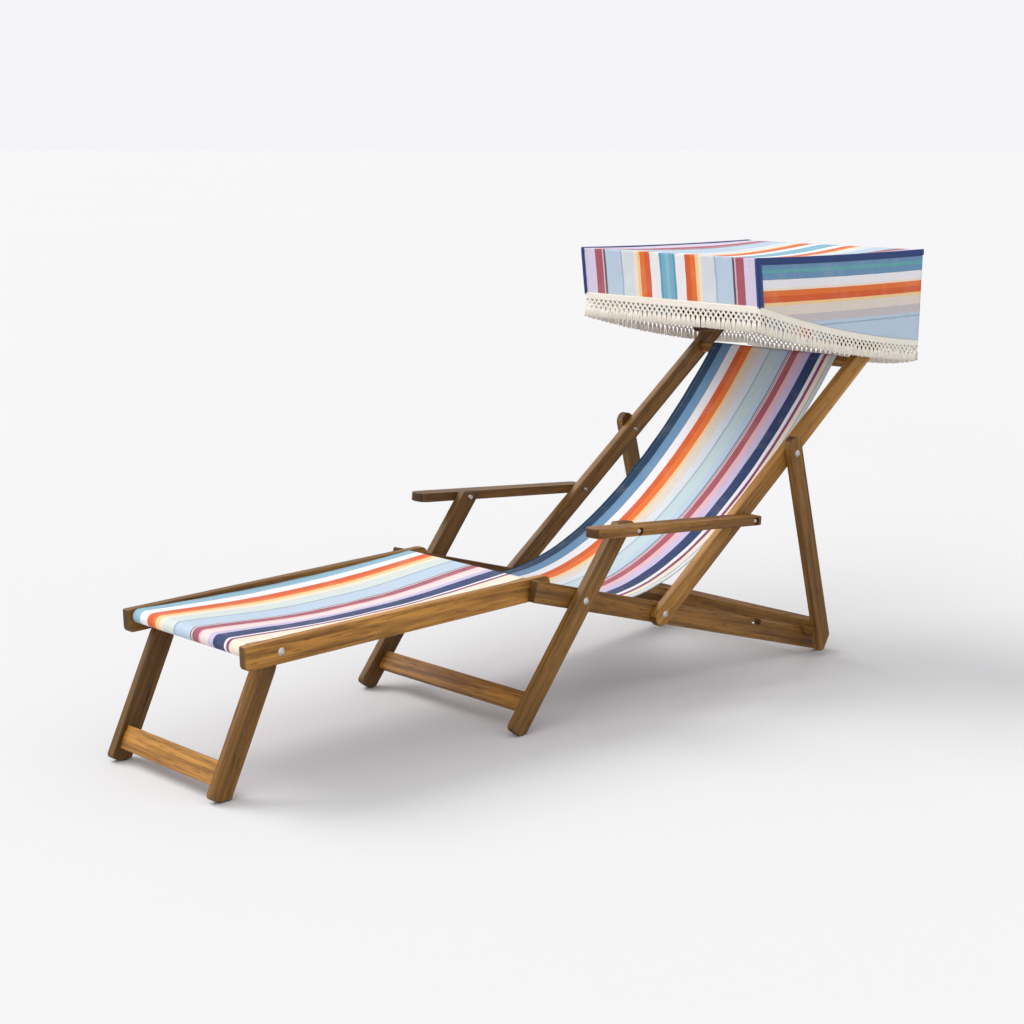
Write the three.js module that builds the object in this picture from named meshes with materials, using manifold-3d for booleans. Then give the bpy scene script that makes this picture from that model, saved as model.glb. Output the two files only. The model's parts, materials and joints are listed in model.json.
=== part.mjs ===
// Folding deck chair: a sling seat on a four-bar timber frame, with a rack-and-prop recline,
// a footrest on its own legs and a tilting fringed canopy.
// Millimetres, +Z up. The sitter faces -Y, so the sitter's left side is +X.
// Each frame is drawn in its own group: local y runs along the member, local z across its depth.

import * as THREE from 'three';
import { mergeVertices } from 'three/addons/utils/BufferGeometryUtils.js';
import Module from 'manifold-3d';

const wasm = await Module();
wasm.setup();

// Timber sections
const timber = 22;
const washerGap = 1;
const footrestGap = 7;
const easedEdge = 1.6;
const smallRound = 4;
const fit = 0.3;

// Overall width, and the layers of the frame from the outside inwards
const frameWidth = 560;
const legX = frameWidth / 2 - timber / 2;
const seatX = legX - timber - washerGap;
const propX = legX + timber + washerGap;
const footrestX = seatX - timber - footrestGap;
const footrestLegX = footrestX - timber - footrestGap;

// Seat rails
const seatPivotHeight = 281;
const seatSlope = THREE.MathUtils.degToRad(-15.87);
const seatDepth = 50.5;
const seatFrontOverhang = 142;
const seatEndRadius = 8;
const seatSoleTrim = 3.1;
const frontBarSetback = 40.5;

// Four-bar linkage: seat rail, front leg, arm and back rail
const backPivotSpan = 278;
const legToArm = 196;
const armSpan = 411;
const legAngle = THREE.MathUtils.degToRad(52.09);
const backAngle = THREE.MathUtils.degToRad(37.2);

// Back rails and the prop that holds them in the rack
const backDepth = 45.5;
const backFootOverhang = 10;
const backToProp = 566;
const backToTopBar = 901;
const backToCanopy = 1000;
const backTopOverhang = 30;
const propDepth = 45;
const propHeadCentre = 20;
const propFootOverhang = 40;
const propFootChamfer = 30;
const propBarDepth = 45;
const rackFromRear = 98;
const rackSeatHeight = 31.7;
const rackSpacing = 201;
const rackRampLength = 25.5;

// Front legs
const legDepth = 47;
const legTopOverhang = 17;
const legToeRadius = 12;
const legToeLength = 13.5;
const legBarHeight = 46;
const legBarReach = 270;
const legBarFace = 2;
const legBarThickness = 20;

// Arms
const armWidth = 53;
const armThickness = 22;
const armFrontOverhang = 136;
const armRearOverhang = 24;
const armFrontRadius = 22;
const armRearRadius = 12;
const armRecessRadius = 9.5;
const armRecessDepth = 7;

// Footrest
const footrestSlope = THREE.MathUtils.degToRad(1.36);
const footrestDepth = 51.5;
const footrestRise = 8.5;
const footrestLegReach = 726;
const footrestLegSetback = 90;
const footrestReach = footrestLegReach + footrestLegSetback;
const footrestHookLength = 34;
const footrestToeRadius = 14;
const footrestHeelRadius = 20;
const footrestBarSetback = 25;
const footrestFrontBar = footrestReach - footrestBarSetback;
const footrestRearBarReach = 30;
const footrestBarDrop = 15.4;
const footrestLegAngle = THREE.MathUtils.degToRad(64.9);
const footrestLegDepth = 50.7;
const footrestLegHead = 20;
const footrestLegHeadDrop = 4;
const footrestLegTaper = 44;
const footrestLegBarHeight = 52;
const footrestLegBarReach = 277;
const footrestLegBarFace = 14;

// Round bars, slings and their sleeves
const barRadius = 14;
const tenonRadius = 9;
const tenonLength = 12;
const slingThickness = 1.6;
const slingMargin = 4;
const slingHalfWidth = footrestX - timber / 2 - slingMargin;
const sleeveWrap = THREE.MathUtils.degToRad(205);
const seatLeaveAngle = THREE.MathUtils.degToRad(-34);
const seatArriveAngle = THREE.MathUtils.degToRad(50.7);
const seatSagFront = 521;
const seatSagRear = 201;
const footrestSag = 11;

// Canopy: the frame pivots near the top of the back rails
const canopySideOverhang = 19;
const canopyHalfWidth = frameWidth / 2 + canopySideOverhang;
const canopyCloth = 2;
const canopyFrontReach = 498;
const canopyRearReach = 146;
const canopyHeight = 222;
const canopyTopFall = 6;
const canopyTopSag = 5;
const canopyCorner = 12;
const canopyFrontDrop = 120;
const canopyRearDrop = 241;
const canopyFrontRake = 15;
const canopyRearRake = 7;
const canopyHemDip = 30;
const canopyBarRadius = 11;
const canopyBarMargin = 13;
const canopyBaseFront = 120;
const canopyBaseRear = 24;
const canopyBaseDepth = 30;
const canopyStrutWidth = 30;
const canopyCradleLip = 5;
const canopyBaseRound = 8;

// Fringe below the canopy cloth
const fringeFrontDrop = 72;
const fringeRearDrop = 46;
const fringeThickness = 2;
const fringeHeading = 9;
const fringePitch = 40;
const fringeCord = 6;
const fringeRows = 2;
const gapHeightShare = 1.5;

// Pivot bolts and glides
const boltRadius = 4;
const boltHeadRadius = 9;
const boltHeadHeight = 3.4;
const boltNutRadius = 7;
const boltNutLength = 5;
const washerRadius = 11;
const armPinClearance = 2;
const glideRadius = 8;
const glideHeight = 3;

// Facet counts
const roundSides = 16;
const boreSides = 12;
const boltSides = 10;
const cornerSteps = 4;
const sleeveSteps = 12;
const sagSteps = 26;
const weldDistance = 0.0001;

// Materials
const wood = { color: 0x7d5529, roughness: 0.48, metalness: 0 };
const woodPale = { color: 0x93683a, roughness: 0.5, metalness: 0 };
const steel = { color: 0xc9c6bd, roughness: 0.28, metalness: 1 };
const darkPad = { color: 0x25211d, roughness: 0.6, metalness: 0 };
const slingCloth = { color: 0x9fb4c8, roughness: 0.92, metalness: 0 };
const canopyFabric = { color: 0xc9d3d8, roughness: 0.92, metalness: 0 };
const cottonCord = { color: 0xe9e2cf, roughness: 0.95, metalness: 0 };

const sides = [
  { name: 'left', sign: 1 },
  { name: 'right', sign: -1 },
];

// Points in the side plane are Vector2: x holds the chair's Y, y holds its Z
const along = (from, angle, distance) =>
  new THREE.Vector2(from.x + distance * Math.cos(angle), from.y + distance * Math.sin(angle));

const angleBetween = (from, to) => Math.atan2(to.y - from.y, to.x - from.x);

function meetCircles(a, radiusA, b, radiusB) {
  const span = a.distanceTo(b);
  const reach = (radiusA ** 2 - radiusB ** 2 + span ** 2) / (2 * span);
  const rise = Math.sqrt(radiusA ** 2 - reach ** 2);
  const base = angleBetween(a, b);
  return along(along(a, base, reach), base + Math.PI / 2, rise);
}

// How far along a ray it leaves a circle
function meetRay(from, angle, centre, radius) {
  const middle = toFrame(centre, from, angle);
  return middle.x + Math.sqrt(radius ** 2 - middle.y ** 2);
}

function toFrame(point, origin, angle) {
  return point.clone().sub(origin).rotateAround(new THREE.Vector2(0, 0), -angle);
}

// Pivots in the side plane
const legPivot = new THREE.Vector2(0, seatPivotHeight);
const backPivot = along(legPivot, seatSlope, backPivotSpan);
const armFrontPivot = along(legPivot, legAngle, legToArm);
const backToArm = meetRay(backPivot, backAngle, armFrontPivot, armSpan);
const armRearPivot = along(backPivot, backAngle, backToArm);
const armAngle = angleBetween(armFrontPivot, armRearPivot);
const propPivot = along(backPivot, backAngle, backToProp);
const canopyPivot = along(backPivot, backAngle, backToCanopy);
const footrestPivot = along(legPivot, seatSlope, frontBarSetback - seatFrontOverhang);
const seatRearReach = (seatPivotHeight - (seatDepth / 2) * Math.cos(seatSlope) + seatSoleTrim)
  / Math.sin(-seatSlope);

// Prop: its bar lies in the rack at a set height over the rail, and that fixes its length and lean
const propBarOffset = (propDepth - timber) / 2;
const rackReach = seatRearReach - rackFromRear;
const rackRest = toWorld(new THREE.Vector2(rackReach, rackSeatHeight), legPivot, seatSlope);
const propBarRadius = propPivot.distanceTo(rackRest);
const propBarReach = Math.sqrt(propBarRadius ** 2 - propBarOffset ** 2);
const propAngle = angleBetween(rackRest, propPivot) + Math.asin(propBarOffset / propBarRadius);

function toWorld(point, origin, angle) {
  return point.clone().rotateAround(new THREE.Vector2(0, 0), angle).add(origin);
}

// Shapes and solids
function closedShape(points) {
  const shape = new THREE.Shape();
  shape.setFromPoints(points);
  return shape;
}

function cornerArc(corner, before, after, radius) {
  const toBefore = before.clone().sub(corner);
  const toAfter = after.clone().sub(corner);
  const half = Math.abs(toBefore.angleTo(toAfter)) / 2;
  const reach = Math.min(radius / Math.tan(half), toBefore.length() / 2, toAfter.length() / 2);
  const curve = new THREE.QuadraticBezierCurve(
    corner.clone().add(toBefore.setLength(reach)),
    corner.clone(),
    corner.clone().add(toAfter.setLength(reach)),
  );
  return curve.getPoints(cornerSteps);
}

// Outline from corners [y, z, radius]; a radius of zero keeps the corner sharp
function roundedOutline(corners) {
  const points = [];
  corners.forEach(([y, z, radius], i) => {
    const corner = new THREE.Vector2(y, z);
    const before = corners[(i + corners.length - 1) % corners.length];
    const after = corners[(i + 1) % corners.length];
    if (radius > 0) {
      points.push(...cornerArc(
        corner,
        new THREE.Vector2(before[0], before[1]),
        new THREE.Vector2(after[0], after[1]),
        radius,
      ));
    } else {
      points.push(corner);
    }
  });
  return points;
}

function arcPoints(centreY, centreZ, radius, from, to, steps) {
  return Array.from({ length: steps + 1 }, (_, i) => {
    const angle = from + ((to - from) * i) / steps;
    return new THREE.Vector2(centreY + radius * Math.cos(angle), centreZ + radius * Math.sin(angle));
  });
}

// A shape drawn in (y, z) and extruded across X, centred on X = 0
const sideways = new THREE.Matrix4().makeBasis(
  new THREE.Vector3(0, 1, 0),
  new THREE.Vector3(0, 0, 1),
  new THREE.Vector3(1, 0, 0),
);

function board(points, thickness, bores = [], edge = easedEdge) {
  const shape = closedShape(points);
  for (const [y, z, radius] of bores) {
    const bore = new THREE.Path();
    bore.setFromPoints(arcPoints(y, z, radius, 0, -2 * Math.PI, boreSides).slice(0, -1));
    shape.holes.push(bore);
  }
  const geometry = new THREE.ExtrudeGeometry(shape, {
    depth: thickness - 2 * edge,
    bevelEnabled: edge > 0,
    bevelThickness: edge,
    bevelSize: edge,
    bevelOffset: -edge,
    bevelSegments: 1,
    curveSegments: cornerSteps,
  });
  geometry.translate(0, 0, edge - thickness / 2);
  return geometry.applyMatrix4(sideways);
}

// A solid of revolution about X from [x, radius] pairs
function turned(profile, segments) {
  const points = profile.map(([x, radius]) => new THREE.Vector2(radius, x));
  return new THREE.LatheGeometry(points, segments).rotateZ(-Math.PI / 2);
}

function block(width, length, height, x, y, z) {
  return new THREE.BoxGeometry(width, length, height).translate(x, y, z);
}

function toSolid(geometry) {
  const bare = geometry.clone();
  for (const name of Object.keys(bare.attributes)) {
    if (name !== 'position') bare.deleteAttribute(name);
  }
  const merged = mergeVertices(bare, weldDistance);
  return new wasm.Manifold(new wasm.Mesh({
    numProp: 3,
    vertProperties: new Float32Array(merged.attributes.position.array),
    triVerts: new Uint32Array(merged.index.array),
  }));
}

function toGeometry(solid) {
  const { vertProperties, triVerts } = solid.getMesh();
  const geometry = new THREE.BufferGeometry();
  geometry.setAttribute('position', new THREE.BufferAttribute(vertProperties, 3));
  geometry.setIndex(new THREE.BufferAttribute(triVerts, 1));
  geometry.computeVertexNormals();
  return geometry;
}

function cut(geometry, tools) {
  let solid = toSolid(geometry);
  for (const tool of tools) solid = solid.subtract(toSolid(tool));
  return toGeometry(solid);
}

function rod(radius, fromX, toX, y, z, segments = boreSides) {
  const geometry = new THREE.CylinderGeometry(radius, radius, Math.abs(toX - fromX), segments);
  return geometry.rotateZ(Math.PI / 2).translate((fromX + toX) / 2, y, z);
}

function piece(name, geometry, finish, x = 0, y = 0, z = 0) {
  const mesh = new THREE.Mesh(geometry, new THREE.MeshStandardMaterial(finish));
  mesh.name = name;
  mesh.position.set(x, y, z);
  return mesh;
}

function frameAt(origin, angle) {
  const group = new THREE.Group();
  group.position.set(0, origin.x, origin.y);
  group.rotation.x = angle;
  return group;
}

// Round bar with a tenon at each end, let into the rails on both sides
function roundBar(innerHalfWidth, radius) {
  const shoulder = innerHalfWidth - fit;
  const end = innerHalfWidth + tenonLength - fit;
  const tenon = Math.min(tenonRadius, radius - 2 * easedEdge);
  return turned([
    [-end, 0], [-end, tenon], [-shoulder, tenon], [-shoulder, radius - easedEdge],
    [easedEdge - shoulder, radius], [shoulder - easedEdge, radius],
    [shoulder, radius - easedEdge], [shoulder, tenon], [end, tenon], [end, 0],
  ], roundSides);
}

const barSocket = (sign, innerHalfWidth, radius, y, z) => {
  const tenon = Math.min(tenonRadius, radius - 2 * easedEdge);
  return rod(tenon + fit, 0, sign * (innerHalfWidth + tenonLength), y, z, roundSides);
};

// Flat bar between two legs, drawn across X with a stub tenon at each end
function flatBar(innerHalfWidth, height, thickness, tenonShare) {
  const shoulder = innerHalfWidth - fit;
  const end = innerHalfWidth + tenonLength - fit;
  const tenon = (height * tenonShare) / 2;
  const outline = [
    [-shoulder, -height / 2], [shoulder, -height / 2], [shoulder, -tenon], [end, -tenon],
    [end, tenon], [shoulder, tenon], [shoulder, height / 2], [-shoulder, height / 2],
    [-shoulder, tenon], [-end, tenon], [-end, -tenon], [-shoulder, -tenon],
  ].map(([x, y]) => new THREE.Vector2(x, y));
  const geometry = new THREE.ExtrudeGeometry(closedShape(outline), {
    depth: thickness - 2 * easedEdge,
    bevelEnabled: true,
    bevelThickness: easedEdge,
    bevelSize: easedEdge,
    bevelOffset: -easedEdge,
    bevelSegments: 1,
  });
  return geometry.translate(0, 0, easedEdge - thickness / 2);
}

const flatTenonShare = 0.6;

const flatSocket = (sign, innerHalfWidth, height, thickness, y, z) => block(
  2 * tenonLength,
  height * flatTenonShare + 2 * fit,
  thickness + 2 * fit,
  sign * innerHalfWidth,
  y,
  z,
);

// Pivot bolt: domed head outside, washers in the gaps, cap nut inside; built for the +X side
function pivotBolt(headFace, nutFace, washers) {
  const profile = [
    [nutFace - boltNutLength - fit, 0],
    [nutFace - boltNutLength - fit, boltNutRadius - easedEdge],
    [nutFace - fit, boltNutRadius],
    [nutFace - fit, boltRadius],
  ];
  for (const [from, to] of washers) {
    profile.push([from + fit, boltRadius], [from + fit, washerRadius]);
    profile.push([to - fit, washerRadius], [to - fit, boltRadius]);
  }
  profile.push([headFace + fit, boltRadius], [headFace + fit, boltHeadRadius]);
  profile.push([headFace + boltHeadHeight + fit, boltHeadRadius / 2], [headFace + boltHeadHeight + fit, 0]);
  return turned(profile, boltSides);
}

function addBolts(group, name, y, z, headFace, nutFace, washers) {
  for (const side of sides) {
    const bolt = piece(`${name}_${side.name}`, pivotBolt(headFace, nutFace, washers), steel, 0, y, z);
    bolt.rotation.z = side.sign > 0 ? 0 : Math.PI;
    group.add(bolt);
  }
}

const bore = boltRadius + fit;

// Foot of a leaning leg: its end is cut level with the floor, over a glide
function solePoints(pivot, angle, depth, toeLength, toeRadius) {
  const rise = glideHeight - pivot.y;
  const heel = (rise + (depth / 2) * Math.cos(angle)) / Math.sin(angle);
  const end = heel - toeLength;
  const soleEnd = toFrame(
    new THREE.Vector2(pivot.x + soleReach(pivot, angle, depth, end), glideHeight),
    pivot,
    angle,
  );
  const corners = [[end, depth / 2, toeRadius], [soleEnd.x, soleEnd.y, 0], [heel, -depth / 2, 0]];
  return { heel, corners };
}

// Where the leg's square end crosses the level of the sole, measured along Y from the pivot
function soleReach(pivot, angle, depth, end) {
  const front = toWorld(new THREE.Vector2(end, depth / 2), new THREE.Vector2(0, pivot.y), angle);
  const drop = front.y - glideHeight;
  return front.x + drop * Math.tan(angle);
}

function addGlides(group, name, legPlaneX, pivot, angle, sole) {
  const a = toWorld(new THREE.Vector2(sole.corners[1][0], sole.corners[1][1]), pivot, angle);
  const b = toWorld(new THREE.Vector2(sole.heel, sole.corners[2][1]), pivot, angle);
  const middle = toFrame(new THREE.Vector2((a.x + b.x) / 2, (glideHeight - fit) / 2), pivot, angle);
  for (const side of sides) {
    const base = glideRadius - easedEdge / 2;
    const pad = new THREE.CylinderGeometry(glideRadius, base, glideHeight - fit, roundSides);
    const glide = piece(`${name}_${side.name}`, pad.rotateX(Math.PI / 2), darkPad);
    glide.position.set(side.sign * legPlaneX, middle.x, middle.y);
    glide.rotation.x = -angle;
    group.add(glide);
  }
}

// Rack notch cut from the top edge of a seat rail, square to the prop when its bar rests there
function rackNotch(reach) {
  const centre = new THREE.Vector2(reach, rackSeatHeight);
  const pivot = meetCircles(new THREE.Vector2(backPivotSpan, 0), backToProp, centre, propBarRadius);
  const lean = angleBetween(centre, pivot) + Math.asin(propBarOffset / propBarRadius);
  const corner = (up, back) => along(
    along(centre, lean, up * (propBarDepth / 2 + fit)),
    lean - Math.PI / 2,
    back * (timber / 2 + fit),
  );
  const front = corner(-1, -1);
  const rear = corner(-1, 1);
  const top = seatDepth / 2;
  return [
    new THREE.Vector2(rear.x, top),
    rear,
    front,
    new THREE.Vector2(front.x - rackRampLength, top),
  ];
}

// Seat frame: two rails that run down to the floor behind, and the round front bar
const seatInner = seatX - timber / 2;
const seatFrame = frameAt(legPivot, seatSlope);
const seatOutline = () => {
  const low = -seatDepth / 2;
  const high = seatDepth / 2;
  const soleRun = seatSoleTrim / Math.sin(-seatSlope);
  const soleRise = seatSoleTrim / Math.cos(seatSlope);
  return [
    ...roundedOutline([
      [-seatFrontOverhang, high, smallRound],
      [-seatFrontOverhang, low, smallRound],
      [seatRearReach - soleRun, low, 0],
      [seatRearReach, low + soleRise, 0],
      [seatRearReach, high, seatEndRadius],
    ]),
    ...rackNotch(rackReach),
    ...rackNotch(rackReach - rackSpacing),
  ];
};
const frontBarY = frontBarSetback - seatFrontOverhang;
for (const side of sides) {
  const bores = [[0, 0, bore], [backPivotSpan, 0, bore]];
  const rail = board(seatOutline(), timber, bores).translate(side.sign * seatX, 0, 0);
  const socket = barSocket(side.sign, seatInner, barRadius, frontBarY, 0);
  seatFrame.add(piece(`seat_rail_${side.name}`, cut(rail, [socket]), wood));
}
seatFrame.add(piece('seat_front_bar', roundBar(seatInner, barRadius), woodPale, 0, frontBarY, 0));
const legFace = legX + timber / 2;
const legWashers = [[seatX + timber / 2, legX - timber / 2]];
addBolts(seatFrame, 'leg_pivot_bolt', 0, 0, legFace, seatInner, legWashers);
addBolts(seatFrame, 'back_pivot_bolt', backPivotSpan, 0, legFace, seatInner, legWashers);

// Front legs: an H frame, hinged on the seat rails and pinned to the arms
const legInner = legX - timber / 2;
const frontLegs = frameAt(legPivot, legAngle);
const frontSole = solePoints(legPivot, legAngle, legDepth, legToeLength, legToeRadius);
const legTop = legToArm + legTopOverhang;
const legTopSkew = legDepth * Math.tan(Math.PI / 2 - legAngle + armAngle);
const legBarZ = legBarFace - legBarThickness / 2;
for (const side of sides) {
  const outline = roundedOutline([
    ...frontSole.corners,
    [legTop + legTopSkew / 2, -legDepth / 2, legToeRadius / 2],
    [legTop - legTopSkew / 2, legDepth / 2, legToeRadius / 2],
  ]);
  const leg = board(outline, timber, [[0, 0, bore], [legToArm, 0, boltRadius + armPinClearance]]);
  leg.translate(side.sign * legX, 0, 0);
  const socket = flatSocket(side.sign, legInner, legBarHeight, legBarThickness, -legBarReach, legBarZ);
  frontLegs.add(piece(`front_leg_${side.name}`, cut(leg, [socket]), wood));
}
frontLegs.add(piece(
  'front_leg_bar',
  flatBar(legInner, legBarHeight, legBarThickness, flatTenonShare),
  woodPale,
  0,
  -legBarReach,
  legBarZ,
));
addGlides(frontLegs, 'front_leg_glide', legX, legPivot, legAngle, frontSole);

// Back frame: two long rails and the round top bar
const backFrame = frameAt(backPivot, backAngle);
const backTop = backToCanopy + backTopOverhang - backDepth / 2;
for (const side of sides) {
  const outline = [
    ...arcPoints(-backFootOverhang, 0, backDepth / 2, Math.PI / 2, 1.5 * Math.PI, 2 * cornerSteps),
    ...arcPoints(backTop, 0, backDepth / 2, -Math.PI / 2, Math.PI / 2, 2 * cornerSteps),
  ];
  const bores = [0, backToArm, backToProp, backToCanopy].map((reach) => [reach, 0, bore]);
  const rail = board(outline, timber, bores).translate(side.sign * legX, 0, 0);
  const socket = barSocket(side.sign, legInner, barRadius, backToTopBar, 0);
  backFrame.add(piece(`back_rail_${side.name}`, cut(rail, [socket]), wood));
}
backFrame.add(piece('back_top_bar', roundBar(legInner, barRadius), woodPale, 0, backToTopBar, 0));
addBolts(
  backFrame,
  'prop_pivot_bolt',
  backToProp,
  0,
  propX + timber / 2,
  legInner,
  [[legFace, propX - timber / 2]],
);

// Arms: flat boards with rounded plan corners and sunk bolt heads
const armInner = frameWidth / 2 + washerGap;
const armX = armInner + armWidth / 2;
const armSeat = armInner + armWidth - armRecessDepth;
const armFrames = sides.map((side) => {
  const group = frameAt(armFrontPivot, armAngle);
  const outer = armWidth / 2;
  const plan = roundedOutline([
    [-armFrontOverhang, -outer, armFrontRadius],
    [armSpan + armRearOverhang, -outer, armRearRadius],
    [armSpan + armRearOverhang, outer, armRearRadius],
    [-armFrontOverhang, outer, armFrontRadius],
  ]).map((point) => new THREE.Vector2(point.y, point.x)).reverse();
  const geometry = new THREE.ExtrudeGeometry(closedShape(plan), {
    depth: armThickness - 2 * easedEdge,
    bevelEnabled: true,
    bevelThickness: easedEdge,
    bevelSize: easedEdge,
    bevelOffset: -easedEdge,
    bevelSegments: 1,
  });
  geometry.translate(side.sign * armX, 0, easedEdge - armThickness / 2);
  const tools = [0, armSpan].flatMap((reach) => [
    rod(bore, side.sign * (armInner - timber), side.sign * (armInner + armWidth + timber), reach, 0),
    rod(armRecessRadius, side.sign * armSeat, side.sign * (armSeat + armWidth), reach, 0, roundSides),
  ]);
  group.add(piece(`arm_${side.name}`, cut(geometry, tools), woodPale));
  for (const [name, reach] of [['arm_front_bolt', 0], ['arm_rear_bolt', armSpan]]) {
    const geometryOfBolt = pivotBolt(armSeat, legInner, [[legFace, armInner]]);
    const bolt = piece(`${name}_${side.name}`, geometryOfBolt, steel, 0, reach, 0);
    bolt.rotation.z = side.sign > 0 ? 0 : Math.PI;
    group.add(bolt);
  }
  return group;
});

// Prop frame: two legs outside the back rails and a flat bar that drops into the racks
const propInner = propX - timber / 2;
const propFrame = frameAt(propPivot, propAngle);
const propFoot = propBarReach + propFootOverhang + propBarDepth / 2;
for (const side of sides) {
  const half = propDepth / 2;
  const outline = [
    ...roundedOutline([
      [propHeadCentre, half, 0],
      [-propFoot, half, smallRound],
      [-propFoot, -half + propFootChamfer, 0],
      [propFootChamfer - propFoot, -half, 0],
      [propHeadCentre, -half, 0],
    ]).slice(1, -1),
    ...arcPoints(propHeadCentre, 0, half, -Math.PI / 2, Math.PI / 2, 2 * cornerSteps),
  ];
  const leg = board(outline, timber, [[0, 0, bore]]).translate(side.sign * propX, 0, 0);
  const socket = flatSocket(side.sign, propInner, propBarDepth, timber, -propBarReach, propBarOffset);
  propFrame.add(piece(`prop_leg_${side.name}`, cut(leg, [socket]), wood));
}
const propCrossBar = flatBar(propInner, propBarDepth, timber, flatTenonShare);
propFrame.add(piece('prop_bar', propCrossBar, wood, 0, -propBarReach, propBarOffset));

// Footrest: rails hooked over the seat's front bar, with a round bar at each end of the sling
const footrestInner = footrestX - timber / 2;
const footrest = frameAt(footrestPivot, footrestSlope);
const footrestBarZ = footrestRise + footrestDepth / 2 - footrestBarDrop;
const hookRadius = barRadius + fit;
for (const side of sides) {
  const low = footrestRise - footrestDepth / 2;
  const high = footrestRise + footrestDepth / 2;
  const outline = [
    ...roundedOutline([
      [footrestHookLength, low, smallRound],
      [footrestHookLength, high, footrestHeelRadius],
      [-footrestReach, high, smallRound],
      [-footrestReach, low, footrestToeRadius],
    ]),
    new THREE.Vector2(-hookRadius, low),
    ...arcPoints(0, 0, hookRadius, Math.PI, 0, 2 * cornerSteps),
    new THREE.Vector2(hookRadius, low),
  ];
  const rail = board(outline, timber, [[-footrestLegReach, footrestRise, bore]]);
  rail.translate(side.sign * footrestX, 0, 0);
  const sockets = [footrestFrontBar, footrestRearBarReach].map((reach) =>
    barSocket(side.sign, footrestInner, barRadius, -reach, footrestBarZ));
  footrest.add(piece(`footrest_rail_${side.name}`, cut(rail, sockets), wood));
}
for (const [end, reach] of [['front', footrestFrontBar], ['rear', footrestRearBarReach]]) {
  const bar = roundBar(footrestInner, barRadius);
  footrest.add(piece(`footrest_${end}_bar`, bar, woodPale, 0, -reach, footrestBarZ));
}
addBolts(
  footrest,
  'footrest_leg_bolt',
  -footrestLegReach,
  footrestRise,
  footrestX + timber / 2,
  footrestLegX - timber / 2,
  [[footrestLegX + timber / 2, footrestInner]],
);

// Footrest legs: a second H frame, hinged inside the footrest rails
const footrestLegInner = footrestLegX - timber / 2;
const footrestLegBore = new THREE.Vector2(-footrestLegReach, footrestRise);
const footrestLegPivot = toWorld(footrestLegBore, footrestPivot, footrestSlope);
const footrestLegs = frameAt(footrestLegPivot, footrestLegAngle);
const footrestSole = solePoints(
  footrestLegPivot,
  footrestLegAngle,
  footrestLegDepth,
  legToeLength,
  legToeRadius,
);
const footrestLegBarZ = footrestLegBarFace - legBarThickness / 2;
for (const side of sides) {
  const half = footrestLegDepth / 2;
  const outline = [
    ...roundedOutline([
      [-footrestLegTaper, half, legToeRadius],
      ...footrestSole.corners,
      [-footrestLegTaper, -half, legToeRadius],
      [-footrestLegHeadDrop, -footrestLegHead, 0],
      [-footrestLegHeadDrop, footrestLegHead, 0],
    ]).slice(0, -2),
    ...arcPoints(-footrestLegHeadDrop, 0, footrestLegHead, -Math.PI / 2, Math.PI / 2, 2 * cornerSteps),
  ];
  const leg = board(outline, timber, [[0, 0, bore]]).translate(side.sign * footrestLegX, 0, 0);
  const socket = flatSocket(
    side.sign,
    footrestLegInner,
    footrestLegBarHeight,
    legBarThickness,
    -footrestLegBarReach,
    footrestLegBarZ,
  );
  footrestLegs.add(piece(`footrest_leg_${side.name}`, cut(leg, [socket]), wood));
}
footrestLegs.add(piece(
  'footrest_leg_bar',
  flatBar(footrestLegInner, footrestLegBarHeight, legBarThickness, flatTenonShare),
  woodPale,
  0,
  -footrestLegBarReach,
  footrestLegBarZ,
));
addGlides(
  footrestLegs,
  'footrest_leg_glide',
  footrestLegX,
  footrestLegPivot,
  footrestLegAngle,
  footrestSole,
);

// Slings: one strip of cloth with a sleeve round the bar at each end
function slingGeometry(start, leave, startHandle, end, arrive, endHandle) {
  const radius = barRadius + fit + slingThickness / 2;
  const startTop = leave + Math.PI / 2;
  const endTop = arrive + Math.PI / 2;
  const first = arcPoints(start.x, start.y, radius, startTop + sleeveWrap, startTop, sleeveSteps);
  const last = arcPoints(end.x, end.y, radius, endTop, endTop - sleeveWrap, sleeveSteps);
  const from = first[first.length - 1];
  const to = last[0];
  const sag = new THREE.CubicBezierCurve(
    from,
    along(from, leave, startHandle),
    along(to, arrive, -endHandle),
    to,
  );
  const centre = [...first, ...sag.getPoints(sagSteps).slice(1, -1), ...last];
  const offset = (sign) => centre.map((point, i) => {
    const before = centre[Math.max(i - 1, 0)];
    const after = centre[Math.min(i + 1, centre.length - 1)];
    return along(point, angleBetween(before, after) + Math.PI / 2, (sign * slingThickness) / 2);
  });
  const strip = closedShape([...offset(1).reverse(), ...offset(-1)]);
  const geometry = new THREE.ExtrudeGeometry(strip, { depth: 2 * slingHalfWidth, bevelEnabled: false });
  return geometry.translate(0, 0, -slingHalfWidth).applyMatrix4(sideways);
}

const seatSling = piece('seat_sling', slingGeometry(
  footrestPivot,
  seatLeaveAngle,
  seatSagFront,
  along(backPivot, backAngle, backToTopBar),
  seatArriveAngle,
  seatSagRear,
), slingCloth);

const footrestSpan = footrestFrontBar - footrestRearBarReach;
const footrestSagAngle = Math.atan((4 * footrestSag) / footrestSpan);
footrest.add(piece('footrest_sling', slingGeometry(
  new THREE.Vector2(-footrestFrontBar, footrestBarZ),
  -footrestSagAngle,
  footrestSpan / 3,
  new THREE.Vector2(-footrestRearBarReach, footrestBarZ),
  footrestSagAngle,
  footrestSpan / 3,
), slingCloth));

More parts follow.
